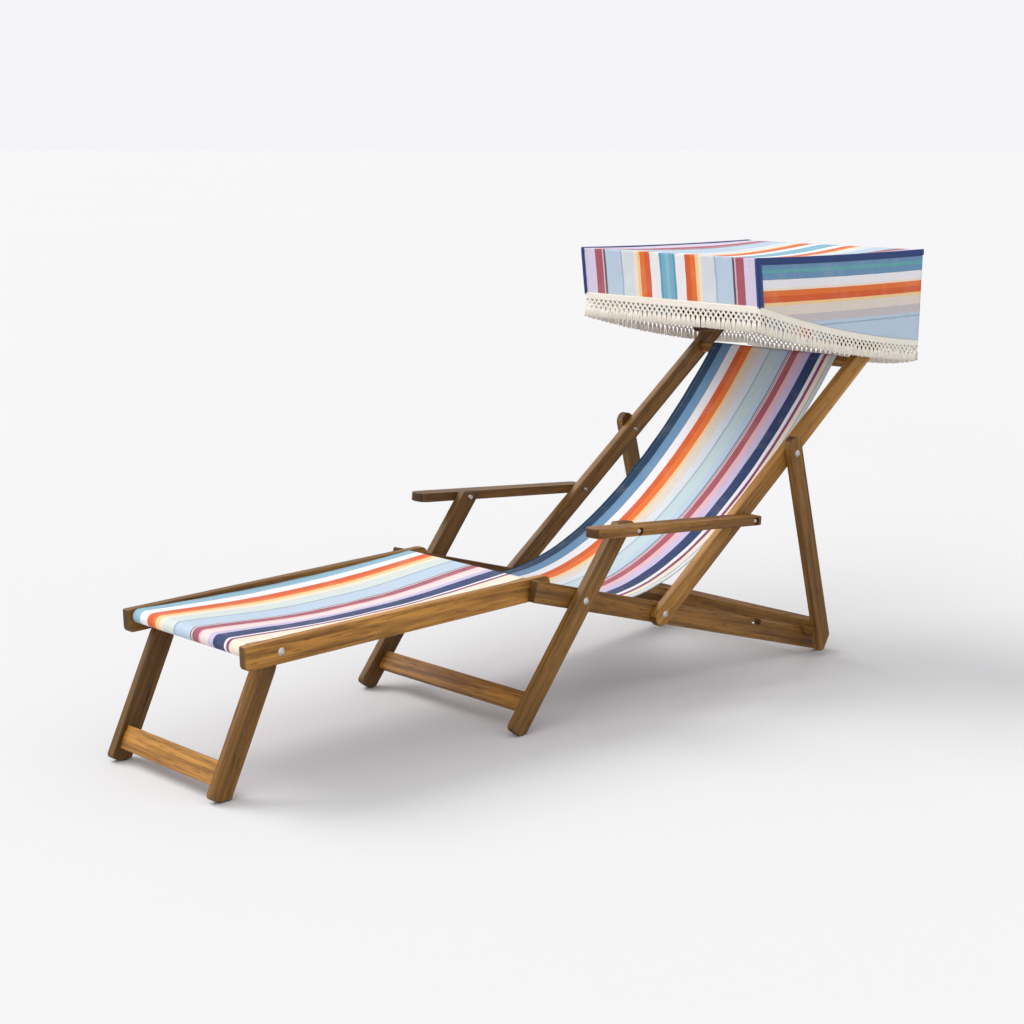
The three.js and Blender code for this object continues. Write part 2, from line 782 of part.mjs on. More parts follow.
// Canopy outline in the side plane, measured from its pivot; inset moves the walls and the top inwards,
// and an open outline runs on down past the hem
function canopyOutline(inset, open) {
  const topFront = new THREE.Vector2(
    inset - canopyFrontReach - canopyFrontRake,
    canopyHeight + canopyTopFall - inset,
  );
  const topRear = new THREE.Vector2(canopyRearReach + canopyRearRake - inset, canopyHeight - inset);
  const { front, rear } = canopyHemEnds();
  front.x += inset;
  rear.x -= inset;
  const topMiddle = topFront.clone().lerp(topRear, 0.5);
  topMiddle.y -= 2 * canopyTopSag;
  const top = new THREE.QuadraticBezierCurve(topFront, topMiddle, topRear).getPoints(2 * cornerSteps);
  const rearCorner = cornerArc(topRear, top[top.length - 2], rear, canopyCorner);
  const frontCorner = cornerArc(topFront, front, top[1], canopyCorner);
  const below = [rear, front].map((point) => new THREE.Vector2(point.x, -canopyHeight));
  const hem = open ? [rear, ...below, front] : canopyHem(front, rear, 0, 0).reverse();
  return [...frontCorner, ...top.slice(1, -1), ...rearCorner, ...hem].reverse();
}

function canopyHemEnds() {
  return {
    front: new THREE.Vector2(-canopyFrontReach, canopyHeight + canopyTopFall - canopyFrontDrop),
    rear: new THREE.Vector2(canopyRearReach, canopyHeight - canopyRearDrop),
  };
}

// The hem dips between the front and the rear corner
function canopyHem(front, rear, frontDrop, rearDrop) {
  const middle = front.clone().lerp(rear, 0.5);
  const curve = new THREE.QuadraticBezierCurve(
    new THREE.Vector2(front.x, front.y - frontDrop),
    new THREE.Vector2(middle.x, middle.y - canopyHemDip - (frontDrop + rearDrop) / 2),
    new THREE.Vector2(rear.x, rear.y - rearDrop),
  );
  return curve.getPoints(2 * cornerSteps);
}

function acrossX(points, halfWidth) {
  const extrusion = { depth: 2 * halfWidth, bevelEnabled: false };
  const geometry = new THREE.ExtrudeGeometry(closedShape(points), extrusion);
  return geometry.translate(0, 0, -halfWidth).applyMatrix4(sideways);
}

const canopy = frameAt(canopyPivot, 0);
canopy.add(piece('canopy_cover', cut(
  acrossX(canopyOutline(0, false), canopyHalfWidth),
  [acrossX(canopyOutline(canopyCloth, true), canopyHalfWidth - canopyCloth)],
), canopyFabric));

// Canopy frame: a base bar on each back rail, two struts that cradle the cross bars
const canopyX = seatX;
const canopyBaseZ = canopyBaseDepth / 2;
const canopyBars = {
  front: new THREE.Vector2(
    canopyBarMargin + canopyCloth - canopyFrontReach - canopyFrontRake,
    canopyHeight + canopyTopFall - canopyCloth - canopyBarRadius - canopyTopSag / 2,
  ),
  rear: new THREE.Vector2(
    canopyRearReach + canopyRearRake - canopyCloth - canopyBarMargin,
    canopyHeight - canopyCloth - canopyBarRadius - canopyTopSag / 2,
  ),
};
const strutFeet = {
  front: new THREE.Vector2(canopyStrutWidth - canopyBaseFront, canopyBaseDepth / 2 + fit),
  rear: new THREE.Vector2(canopyBaseRear - canopyStrutWidth / 2, canopyBaseDepth / 2 + fit),
};

function strutOutline(foot, bar) {
  const angle = angleBetween(foot, bar);
  const length = foot.distanceTo(bar);
  const half = canopyStrutWidth / 2;
  const skew = -half / Math.tan(angle);
  const cradle = canopyBarRadius + fit;
  const lip = Math.acos(canopyCradleLip / cradle);
  const end = length - canopyCradleLip;
  const local = [
    new THREE.Vector2(skew, half),
    new THREE.Vector2(-skew, -half),
    new THREE.Vector2(end, -half),
    ...arcPoints(length, 0, cradle, Math.PI + lip, Math.PI - lip, 2 * cornerSteps),
    new THREE.Vector2(end, half),
  ];
  return local.map((point) => toWorld(point, foot, angle));
}

for (const side of sides) {
  const base = board(
    roundedOutline([
      [-canopyBaseFront, -canopyBaseDepth / 2, canopyBaseRound],
      [canopyBaseRear, -canopyBaseDepth / 2, canopyBaseRound],
      [canopyBaseRear, canopyBaseDepth / 2, smallRound],
      [-canopyBaseFront, canopyBaseDepth / 2, smallRound],
    ]),
    timber,
    [[0, 0, bore]],
  );
  canopy.add(piece(`canopy_base_${side.name}`, base, wood, side.sign * canopyX));
  for (const end of ['front', 'rear']) {
    const strut = board(strutOutline(strutFeet[end], canopyBars[end]), timber);
    canopy.add(piece(`canopy_${end}_strut_${side.name}`, strut, wood, side.sign * canopyX));
  }
}
for (const end of ['front', 'rear']) {
  const half = canopyHalfWidth - canopyCloth - fit;
  const bar = turned([
    [-half, 0], [-half, canopyBarRadius - easedEdge], [easedEdge - half, canopyBarRadius],
    [half - easedEdge, canopyBarRadius], [half, canopyBarRadius - easedEdge], [half, 0],
  ], roundSides);
  canopy.add(piece(`canopy_${end}_bar`, bar, woodPale, 0, canopyBars[end].x, canopyBars[end].y));
}
addBolts(canopy, 'canopy_pivot_bolt', 0, 0, legFace, seatInner, legWashers);

// Fringe: a knotted net in the planes of the cover's four sides, hung just below its hem
function fringeBand() {
  const { front, rear } = canopyHemEnds();
  front.y -= fit;
  rear.y -= fit;
  const top = canopyHem(front, rear, 0, 0);
  const bottom = canopyHem(front, rear, fringeFrontDrop, fringeRearDrop);
  return { top, bottom, hemFront: front, hemRear: rear };
}

// One diamond gap of the net, in the plane of its panel
function meshGap(u, z, width, height) {
  return closedShape([
    new THREE.Vector2(u - width / 2, z),
    new THREE.Vector2(u, z - height / 2),
    new THREE.Vector2(u + width / 2, z),
    new THREE.Vector2(u, z + height / 2),
  ]);
}

function netGaps(from, to, levelAt, dropAt, rows) {
  const count = Math.floor((to - from) / fringePitch);
  const pitch = (to - from) / count;
  const shapes = [];
  for (let row = 0; row < rows; row += 1) {
    const columns = row % 2 === 0 ? count : count - 1;
    for (let i = 0; i < columns; i += 1) {
      const u = from + pitch * (i + 0.5 + (row % 2) / 2);
      const cell = (dropAt(u) - fringeHeading) / (rows + 1);
      const z = levelAt(u) - fringeHeading - cell * (row + gapHeightShare / 2);
      shapes.push(meshGap(u, z, pitch - fringeCord, gapHeightShare * cell - fringeCord));
    }
  }
  return shapes;
}

function fringeGeometry() {
  const { top, bottom, hemFront, hemRear } = fringeBand();
  const half = canopyHalfWidth;
  const wall = fringeThickness;
  const outer = acrossX([...top, ...bottom.slice().reverse()].reverse(), half);
  const length = canopyRearReach + canopyFrontReach - 2 * wall;
  const middle = (canopyRearReach - canopyFrontReach) / 2;
  const core = block(2 * (half - wall), length, 2 * canopyHeight, 0, middle, 0);
  const span = hemRear.x - hemFront.x;
  const curveAt = (points, u) => {
    const i = Math.min(Math.max(points.findIndex((point) => point.x >= u), 1), points.length - 1);
    const share = (u - points[i - 1].x) / (points[i].x - points[i - 1].x);
    return points[i - 1].y + share * (points[i].y - points[i - 1].y);
  };
  const sideGaps = netGaps(
    hemFront.x + wall,
    hemRear.x - wall,
    (u) => curveAt(top, u),
    (u) => curveAt(top, u) - curveAt(bottom, u),
    fringeRows,
  );
  const sideTool = new THREE.ExtrudeGeometry(sideGaps, { depth: 4 * half, bevelEnabled: false });
  sideTool.translate(0, 0, -2 * half).applyMatrix4(sideways);
  const widthGaps = (level, drop) => netGaps(wall - half, half - wall, () => level, () => drop, fringeRows);
  const frontGaps = widthGaps(hemFront.y, fringeFrontDrop);
  const rearGaps = widthGaps(hemRear.y, fringeRearDrop);
  const lengthwise = (shapes, y) => {
    const tool = new THREE.ExtrudeGeometry(shapes, { depth: span / 2, bevelEnabled: false });
    return tool.translate(0, 0, -span / 4).rotateX(Math.PI / 2).translate(0, y, 0);
  };
  let solid = toSolid(outer).subtract(toSolid(core));
  solid = solid.subtract(toSolid(sideTool));
  solid = solid.subtract(toSolid(lengthwise(frontGaps, hemFront.x)));
  solid = solid.subtract(toSolid(lengthwise(rearGaps, hemRear.x)));
  return toGeometry(solid);
}
canopy.add(piece('canopy_fringe', fringeGeometry(), cottonCord));

// The whole chair stands on Z = 0, centred under the middle of its bounding box
const chair = new THREE.Group();
chair.add(seatFrame, frontLegs, backFrame, ...armFrames, propFrame);
chair.add(footrest, footrestLegs, seatSling, canopy);
chair.updateMatrixWorld(true);
const bounds = new THREE.Box3().setFromObject(chair, true);
chair.position.y = -(bounds.min.y + bounds.max.y) / 2;

export default chair;
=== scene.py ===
"""Looks of a folding deck chair: oiled hardwood, striped canvas, a bound canopy and its knotted fringe."""

import json
import logging
import math
import random
from dataclasses import dataclass, field
from enum import Enum
from typing import Iterable, Sequence

import bmesh
import bpy
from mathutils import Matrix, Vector

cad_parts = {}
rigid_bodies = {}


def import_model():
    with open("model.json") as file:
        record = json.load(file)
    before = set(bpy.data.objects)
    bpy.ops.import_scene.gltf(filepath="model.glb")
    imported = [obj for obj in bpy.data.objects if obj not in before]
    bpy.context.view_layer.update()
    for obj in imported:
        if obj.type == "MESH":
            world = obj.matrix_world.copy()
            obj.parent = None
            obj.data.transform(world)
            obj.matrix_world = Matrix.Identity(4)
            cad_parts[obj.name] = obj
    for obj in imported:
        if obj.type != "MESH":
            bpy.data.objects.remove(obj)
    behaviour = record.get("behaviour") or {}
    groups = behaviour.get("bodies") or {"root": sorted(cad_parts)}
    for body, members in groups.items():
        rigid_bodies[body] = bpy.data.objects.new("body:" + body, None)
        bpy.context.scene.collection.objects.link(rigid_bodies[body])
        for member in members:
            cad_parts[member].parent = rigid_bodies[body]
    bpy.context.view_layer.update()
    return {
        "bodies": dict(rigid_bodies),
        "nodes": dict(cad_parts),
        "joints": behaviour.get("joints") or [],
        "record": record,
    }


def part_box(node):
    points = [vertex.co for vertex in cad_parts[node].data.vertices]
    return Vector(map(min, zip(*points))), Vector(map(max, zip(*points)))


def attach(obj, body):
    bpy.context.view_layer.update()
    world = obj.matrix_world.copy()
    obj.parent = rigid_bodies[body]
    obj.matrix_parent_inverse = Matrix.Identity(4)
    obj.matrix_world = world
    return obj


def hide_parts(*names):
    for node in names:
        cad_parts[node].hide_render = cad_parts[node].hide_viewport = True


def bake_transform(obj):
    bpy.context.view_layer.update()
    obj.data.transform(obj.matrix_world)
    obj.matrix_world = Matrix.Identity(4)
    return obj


LOG = logging.getLogger("deck_chair")

Material = bpy.types.Material
Node = bpy.types.Node
Object = bpy.types.Object
Socket = bpy.types.NodeSocket

Point = tuple[float, float]
Triple = tuple[float, float, float]
Tone = tuple[float, float, float, float]
Dye = tuple[int, int, int]

MM_PER_M = 1000


def linear(red: int, green: int, blue: int) -> Tone:
    """Turn an eight-bit display colour into the linear colour that the shaders use.

    Args:
        red: Red, 0 to 255.
        green: Green, 0 to 255.
        blue: Blue, 0 to 255.

    Returns:
        Linear red, green and blue, and an alpha of 1.
    """
    def channel(value: int) -> float:
        """Turn one channel linear."""
        share = value / 255
        return share / 12.92 if share <= 0.04045 else ((share + 0.055) / 1.055) ** 2.4

    return (channel(red), channel(green), channel(blue), 1.0)


class Grain(Enum):
    """Which way the grain of a member runs."""

    LENGTHWISE = "lengthwise"
    CROSSWISE = "crosswise"


class Side(Enum):
    """The two sides of the chair, as the sitter has them."""

    LEFT = 1
    RIGHT = -1


@dataclass
class NodeTree:
    """Adds and joins shader nodes, in a material or in a group."""

    tree: bpy.types.NodeTree

    def add(self, kind: str, **settings: object) -> Node:
        """Add a node and set its properties.

        Args:
            kind: Blender's name of the node type.
            **settings: Properties of the node.

        Returns:
            The new node.
        """
        node = self.tree.nodes.new(kind)
        for name, value in settings.items():
            setattr(node, name, value)
        return node

    def join(self, source: object, target: Socket) -> None:
        """Link a socket to another, or set the target when the source is a plain value.

        Args:
            source: Socket or value.
            target: The input that takes it.
        """
        if isinstance(source, Socket):
            self.tree.links.new(source, target)
        else:
            target.default_value = source

    def math(self, operation: str, *values: object) -> Socket:
        """Add a Math node.

        Args:
            operation: Blender's name of the operation.
            *values: Sockets or numbers, in the node's order.

        Returns:
            The result socket.
        """
        node = self.add("ShaderNodeMath", operation=operation)
        for socket, value in zip(node.inputs, values):
            self.join(value, socket)
        return node.outputs[0]

    def stretch(self, value: object, low: float, high: float, to_low: float, to_high: float) -> Socket:
        """Map a value from one range to another, held inside it.

        Args:
            value: Socket or number.
            low: Low end of the source range.
            high: High end of the source range.
            to_low: Result at the low end.
            to_high: Result at the high end.

        Returns:
            The result socket.
        """
        node = self.add("ShaderNodeMapRange")
        self.join(value, node.inputs["Value"])
        for name, number in (("From Min", low), ("From Max", high), ("To Min", to_low), ("To Max", to_high)):
            node.inputs[name].default_value = number
        return node.outputs["Result"]

    def blend(self, share: object, first: object, second: object, mode: str = "MIX") -> Socket:
        """Mix two colours.

        Args:
            share: How much of the second colour, 0 to 1.
            first: First colour, as a socket or four numbers.
            second: Second colour, as a socket or four numbers.
            mode: Blender's name of the blend.

        Returns:
            The colour socket.
        """
        node = self.add("ShaderNodeMix", data_type="RGBA", blend_type=mode)
        self.join(share, node.inputs[0])
        self.join(first, node.inputs[6])
        self.join(second, node.inputs[7])
        return node.outputs[2]

    def noise(self, vector: Socket, scales: Triple, detail: float, roughness: float = 0.5) -> Socket:
        """Add a noise texture.

        Args:
            vector: Where it is read.
            scales: Its scale in each direction.
            detail: How many finer layers it has.
            roughness: How strong the finer layers are.

        Returns:
            Its value, 0 to 1.
        """
        scaled = self.add("ShaderNodeVectorMath", operation="MULTIPLY")
        self.join(vector, scaled.inputs[0])
        scaled.inputs[1].default_value = scales
        node = self.add("ShaderNodeTexNoise")
        self.fill(node, Vector=scaled.outputs[0], Scale=1.0, Detail=detail, Roughness=roughness)
        return node.outputs["Fac"]

    def fill(self, node: Node, **values: object) -> None:
        """Set or link the inputs of a node.

        Args:
            node: The node.
            **values: Its inputs by name, with spaces written as underscores.
        """
        for name, value in values.items():
            self.join(value, node.inputs[name.replace("_", " ")])

    def place(self, group: bpy.types.NodeTree, **values: object) -> Node:
        """Place a shader node group and set its inputs.

        Args:
            group: The group.
            **values: Its inputs, as in fill.

        Returns:
            The group's node.
        """
        node = self.add("ShaderNodeGroup", node_tree=group)
        self.fill(node, **values)
        return node


def new_group(
    name: str, inputs: dict[str, str], outputs: dict[str, str]
) -> tuple[NodeTree, Node, Node]:
    """Start a shader node group with named sockets.

    Args:
        name: The group's name.
        inputs: Input names, each with Float, Color or Vector.
        outputs: Output names, each with Float, Color or Vector.

    Returns:
        The group's tree, its input node and its output node.
    """
    group = bpy.data.node_groups.new(name, "ShaderNodeTree")
    for names, way in ((inputs, "INPUT"), (outputs, "OUTPUT")):
        for socket, kind in names.items():
            group.interface.new_socket(name=socket, in_out=way, socket_type=f"NodeSocket{kind}")
    nodes = NodeTree(group)
    return nodes, nodes.add("NodeGroupInput"), nodes.add("NodeGroupOutput")


class Effects:
    """Shader effects that several materials share, each built once.

    A scale says how fine an effect is across, along and across the piece, in features to the metre.
    """

    bend_scale: Triple = (9, 1.3, 9)
    figure_scale: Triple = (95, 2.2, 95)
    fibre_scale: Triple = (700, 11, 700)
    pore_scale: Triple = (420, 22, 420)
    patch_scale: Triple = (7, 2.0, 7)
    wear_scale: Triple = (11, 11, 11)
    slub_scale: Triple = (900, 14, 1)
    weft_scale: Triple = (10, 700, 1)
    bend_reach: Point = (0.05, 0.035)
    thread_reach: Point = (0.0004, 0.0008)
    pull_reach: float = 0.004
    dash_half: float = 0.34

    def __init__(self) -> None:
        """Build every group."""
        self.timber_grain = self._timber_grain()
        self.handling = self._handling()
        self.plain_weave = self._plain_weave()
        self.stitch_row = self._stitch_row()

    def _timber_grain(self) -> bpy.types.NodeTree:
        """Build oiled hardwood, its grain along the vector's Y: growth figure, fibres and open pores.

        Returns:
            The group.
        """
        nodes, given, result = new_group(
            "timber_grain",
            {"Vector": "Vector", "Dark": "Color", "Middle": "Color", "Light": "Color", "Figure": "Float"},
            {"Color": "Color", "Roughness": "Float", "Height": "Float"},
        )
        where, dark = given.outputs["Vector"], given.outputs["Dark"]
        bend = nodes.noise(where, self.bend_scale, 2.0)
        shift = nodes.add("ShaderNodeCombineXYZ")
        nodes.join(nodes.math("MULTIPLY", bend, self.bend_reach[0]), shift.inputs[0])
        nodes.join(nodes.math("MULTIPLY", bend, self.bend_reach[1]), shift.inputs[2])
        bent = nodes.add("ShaderNodeVectorMath", operation="ADD")
        nodes.join(where, bent.inputs[0])
        nodes.join(shift.outputs[0], bent.inputs[1])
        figure = nodes.noise(bent.outputs[0], self.figure_scale, 4.0, 0.6)
        fibres = nodes.noise(where, self.fibre_scale, 3.0, 0.7)
        pores = nodes.noise(where, self.pore_scale, 1.0, 0.4)
        patches = nodes.noise(where, self.patch_scale, 3.0)

        # Colour: pale and middle patches, then the dark figure, the fibres and the pores over them
        pale = nodes.stretch(patches, 0.3, 0.72, 0.0, 1.0)
        body = nodes.blend(pale, given.outputs["Middle"], given.outputs["Light"])
        wide = nodes.stretch(figure, 0.36, 0.66, 0.0, 1.0)
        body = nodes.blend(nodes.math("MULTIPLY", wide, given.outputs["Figure"]), body, dark)
        body = nodes.blend(nodes.stretch(fibres, 0.4, 0.75, 0.0, 0.35), body, dark)
        pore = nodes.stretch(pores, 0.62, 0.72, 0.0, 1.0)
        body = nodes.blend(nodes.math("MULTIPLY", pore, 0.55), body, dark, "MULTIPLY")
        nodes.join(body, result.inputs["Color"])

        # Fibres and pores are duller than the oiled face, and pores lie under it
        dull = nodes.stretch(fibres, 0.3, 0.8, 0.46, 0.62)
        rough = nodes.math("ADD", dull, nodes.math("MULTIPLY", pore, 0.15))
        nodes.join(rough, result.inputs["Roughness"])
        raised = nodes.math("MULTIPLY", fibres, 0.5)
        height = nodes.math("SUBTRACT", raised, nodes.math("MULTIPLY", pore, 0.8))
        nodes.join(height, result.inputs["Height"])
        return nodes.tree

    def _handling(self) -> bpy.types.NodeTree:
        """Build the marks of use: soft patches where hands and weather have dulled a surface.

        Returns:
            The group.
        """
        nodes, given, result = new_group(
            "handling", {"Vector": "Vector", "Amount": "Float"}, {"Mask": "Float"}
        )
        cloud = nodes.noise(given.outputs["Vector"], self.wear_scale, 5.0, 0.6)
        worn = nodes.stretch(cloud, 0.5, 0.75, 0.0, 1.0)
        nodes.join(nodes.math("MULTIPLY", worn, given.outputs["Amount"]), result.inputs["Mask"])
        return nodes.tree

    def _plain_weave(self) -> bpy.types.NodeTree:
        """Build a plain weave over a vector in metres: threads over and under, and slubs along the warp.

        Returns:
            The group.
        """
        nodes, given, result = new_group(
            "plain_weave", {"Vector": "Vector", "Threads": "Float"}, {"Height": "Float", "Shade": "Float"}
        )
        where = given.outputs["Vector"]
        parts = nodes.add("ShaderNodeSeparateXYZ")
        nodes.join(where, parts.inputs[0])
        turn = nodes.math("MULTIPLY", given.outputs["Threads"], math.pi)
        across = nodes.math("SINE", nodes.math("MULTIPLY", parts.outputs[0], turn))
        down = nodes.math("SINE", nodes.math("MULTIPLY", parts.outputs[1], turn))
        nodes.join(nodes.math("ABSOLUTE", nodes.math("MULTIPLY", across, down)), result.inputs["Height"])
        slub = nodes.stretch(nodes.noise(where, self.slub_scale, 2.0), 0.3, 0.7, 0.0, 0.6)
        weft = nodes.stretch(nodes.noise(where, self.weft_scale, 2.0), 0.3, 0.7, 0.0, 0.4)
        nodes.join(nodes.math("ADD", slub, weft), result.inputs["Shade"])
        return nodes.tree

    def _stitch_row(self) -> bpy.types.NodeTree:
        """Build a row of thread stitches, from the distance to the row and the place along it.

        Returns:
            The group. Its Mask is the thread, and its Pull is how far the cloth is drawn in beside it.
        """
        nodes, given, result = new_group(
            "stitch_row",
            {"Distance": "Float", "Along": "Float", "Pitch": "Float"},
            {"Mask": "Float", "Pull": "Float"},
        )
        near = nodes.math("ABSOLUTE", given.outputs["Distance"])
        thread = nodes.stretch(near, *self.thread_reach, 1.0, 0.0)
        step = nodes.math("FRACT", nodes.math("DIVIDE", given.outputs["Along"], given.outputs["Pitch"]))
        off_middle = nodes.math("ABSOLUTE", nodes.math("SUBTRACT", step, 0.5))
        dash = nodes.math("LESS_THAN", off_middle, self.dash_half)
        nodes.join(nodes.math("MULTIPLY", thread, dash), result.inputs["Mask"])
        nodes.join(nodes.stretch(near, 0.0, self.pull_reach, 1.0, 0.0), result.inputs["Pull"])
        return nodes.tree


@dataclass(frozen=True)
class Finish:
    """A material that starts from one Principled shader."""

    name: str

    def start(self) -> tuple[Material, NodeTree, Node]:
        """Make the material and empty it down to its shader.

        Returns:
            The material, its nodes and the Principled node.
        """
        material = bpy.data.materials.new(self.name)
        material.use_nodes = True
        nodes = NodeTree(material.node_tree)
        shader = next(n for n in material.node_tree.nodes if n.type == "BSDF_PRINCIPLED")
        return material, nodes, shader

    @staticmethod
    def bump(nodes: NodeTree, shader: Node, height: object, depth: float, strength: float) -> None:
        """Raise the surface by a height.

        Args:
            nodes: The material's nodes.
            shader: The Principled node.
            height: The height socket, 0 to 1.
            depth: How far 1 stands up, in metres.
            strength: The bump's strength, 0 to 1.
        """
        bump = nodes.add("ShaderNodeBump")
        nodes.fill(bump, Distance=depth, Strength=strength, Height=height)
        nodes.fill(shader, Normal=bump.outputs[0])


@dataclass(frozen=True)
class WoodFinish(Finish):
    """Oiled hardwood, cut for one member: its grain follows the member's own direction."""

    slope: float = 0.0
    grain: Grain = Grain.LENGTHWISE
    seed: float = 0.0
    dark: Dye = (60, 36, 10)
    middle: Dye = (130, 88, 36)
    light: Dye = (172, 124, 58)
    figure: float = 0.55
    seed_step: Triple = (0.37, 1.91, 0.73)
    end_turn: Point = (0.6, 0.85)
    end_dark: float = 0.85

    def build(self, effects: Effects) -> Material:
        """Make the material.

        Args:
            effects: The shared groups.

        Returns:
            The material.
        """
        material, nodes, shader = self.start()
        place = nodes.add("ShaderNodeTexCoord")
        along = nodes.add("ShaderNodeMapping")
        turned = nodes.add("ShaderNodeMapping", vector_type="NORMAL")
        crosswise = self.grain is Grain.CROSSWISE
        turn = (0.0, 0.0, math.pi / 2) if crosswise else (-math.radians(self.slope), 0.0, 0.0)
        along.inputs["Rotation"].default_value = turn
        along.inputs["Location"].default_value = [self.seed * step for step in self.seed_step]
        turned.inputs["Rotation"].default_value = turn
        nodes.join(place.outputs["Object"], along.inputs["Vector"])
        nodes.join(place.outputs["Normal"], turned.inputs["Vector"])
        wood = nodes.place(
            effects.timber_grain,
            Vector=along.outputs[0],
            Dark=linear(*self.dark),
            Middle=linear(*self.middle),
            Light=linear(*self.light),
            Figure=self.figure,
        )
        use = nodes.place(effects.handling, Vector=along.outputs[0], Amount=0.5)
        parts = nodes.add("ShaderNodeSeparateXYZ")
        nodes.join(turned.outputs[0], parts.inputs[0])
        end = nodes.stretch(nodes.math("ABSOLUTE", parts.outputs[1]), *self.end_turn, 0.0, self.end_dark)
        colour = nodes.blend(end, wood.outputs["Color"], linear(*self.dark))
        worn = nodes.math("MULTIPLY", use.outputs["Mask"], 0.2)
        rough = nodes.math("ADD", wood.outputs["Roughness"], worn)
        nodes.fill(shader, Base_Color=colour, Roughness=rough, IOR=1.46, Specular_IOR_Level=0.32)
        self.bump(nodes, shader, wood.outputs["Height"], 0.0004, 0.5)
        return material


@dataclass(frozen=True)
class SteelFinish(Finish):
    """Bright bolts with fine turned marks."""

    bright: Dye = (192, 188, 181)
    dull: Dye = (138, 133, 124)
    mark_scale: Triple = (2600, 90, 90)

    def build(self, effects: Effects) -> Material:
        """Make the material.

        Args:
            effects: The shared groups.

        Returns:
            The material.
        """
        material, nodes, shader = self.start()
        place = nodes.add("ShaderNodeTexCoord")
        marks = nodes.noise(place.outputs["Object"], self.mark_scale, 2.0)
        use = nodes.place(effects.handling, Vector=place.outputs["Object"], Amount=0.6)
        tone = nodes.blend(use.outputs["Mask"], linear(*self.bright), linear(*self.dull))
        rough = nodes.stretch(marks, 0.3, 0.7, 0.24, 0.42)
        nodes.fill(shader, Base_Color=tone, Roughness=rough, Metallic=1.0)
        self.bump(nodes, shader, marks, 0.0001, 0.3)
        return material


@dataclass(frozen=True)
class PadFinish(Finish):
    """Dark moulded glides, scuffed by the floor."""

    dark: Dye = (30, 26, 23)
    scuffed: Dye = (58, 52, 46)
    grit_scale: Triple = (900, 900, 900)

    def build(self, effects: Effects) -> Material:
        """Make the material.

        Args:
            effects: The shared groups. Not used.

        Returns:
            The material.
        """
        material, nodes, shader = self.start()
        place = nodes.add("ShaderNodeTexCoord")
        grit = nodes.noise(place.outputs["Object"], self.grit_scale, 2.0)
        tone = nodes.blend(grit, linear(*self.dark), linear(*self.scuffed))
        nodes.fill(shader, Base_Color=tone, Roughness=nodes.stretch(grit, 0.3, 0.7, 0.5, 0.75))
        self.bump(nodes, shader, grit, 0.0002, 0.4)
        return material


@dataclass(frozen=True)
class Stripe:
    """One woven stripe: how wide it is, in millimetres, and its dyed colour."""

    width: float
    colour: Dye


NAVY = (40, 60, 106)
INK = (26, 64, 98)
STEEL_BLUE = (106, 148, 184)
TEAL_PALE = (138, 192, 210)
TEAL = (120, 176, 200)
TEAL_DEEP = (94, 160, 184)
SEA_GREEN = (98, 168, 172)
POOL = (140, 184, 204)
WHITE = (242, 240, 244)
ORANGE_DEEP = (220, 94, 42)
ORANGE = (234, 116, 48)
PEACH = (250, 208, 150)
OAT = (228, 216, 204)
MIST = (218, 225, 232)
SLATE_LINE = (160, 180, 196)
SKY = (190, 209, 228)
DARK_LINE = (92, 82, 98)
BLUSH = (232, 186, 194)
ROSE = (172, 88, 102)
LAVENDER = (204, 192, 226)
LILAC = (220, 208, 232)
PLUM = (140, 66, 112)
CREAM = (246, 230, 210)
GREIGE = (202, 194, 196)
AQUA = (196, 216, 222)
SHELL = (238, 220, 218)
STRAW = (238, 235, 218)
LEAF_GREY = (214, 223, 220)
CORD = (250, 246, 236)

# Across the seat's sling, from the sitter's right edge to the left edge
SEAT_STRIPES = (
    Stripe(33, INK), Stripe(33, STEEL_BLUE), Stripe(29, WHITE), Stripe(20, ORANGE_DEEP), Stripe(21, ORANGE),
    Stripe(11, PEACH), Stripe(27, OAT), Stripe(28, MIST), Stripe(5, SLATE_LINE), Stripe(35, AQUA),
    Stripe(22, SKY), Stripe(3, DARK_LINE), Stripe(3, SKY), Stripe(3, DARK_LINE), Stripe(5, BLUSH),
    Stripe(21, ROSE), Stripe(17, BLUSH), Stripe(22, LAVENDER), Stripe(34, NAVY), Stripe(12, WHITE),
    Stripe(9, PLUM), Stripe(16, CREAM), Stripe(3, SLATE_LINE), Stripe(12, MIST),
)

# Across the footrest's sling, the same way: it is cut from another place of the same pattern
FOOTREST_STRIPES = (
    Stripe(27, POOL), Stripe(29, WHITE), Stripe(20, ORANGE_DEEP), Stripe(12, ORANGE), Stripe(15, PEACH),
    Stripe(15, CREAM), Stripe(39, LEAF_GREY), Stripe(6, SLATE_LINE), Stripe(55, SKY), Stripe(4, DARK_LINE),
    Stripe(6, BLUSH), Stripe(4, DARK_LINE), Stripe(18, ROSE), Stripe(7, BLUSH), Stripe(28, SHELL),
    Stripe(18, LAVENDER), Stripe(38, NAVY), Stripe(9, WHITE), Stripe(9, PLUM), Stripe(31, CREAM),
    Stripe(14, STRAW),
)

# Half of the canopy's main strip, from the middle outwards
CANOPY_HALF = (
    Stripe(6, TEAL_PALE), Stripe(15, TEAL), Stripe(7, TEAL_DEEP), Stripe(31, WHITE), Stripe(20, ORANGE_DEEP),
    Stripe(16, ORANGE), Stripe(8, PEACH), Stripe(13, CREAM), Stripe(41, MIST), Stripe(6, SLATE_LINE),
    Stripe(53, SKY), Stripe(7, DARK_LINE), Stripe(4, BLUSH), Stripe(27, ROSE), Stripe(45, LILAC),
)

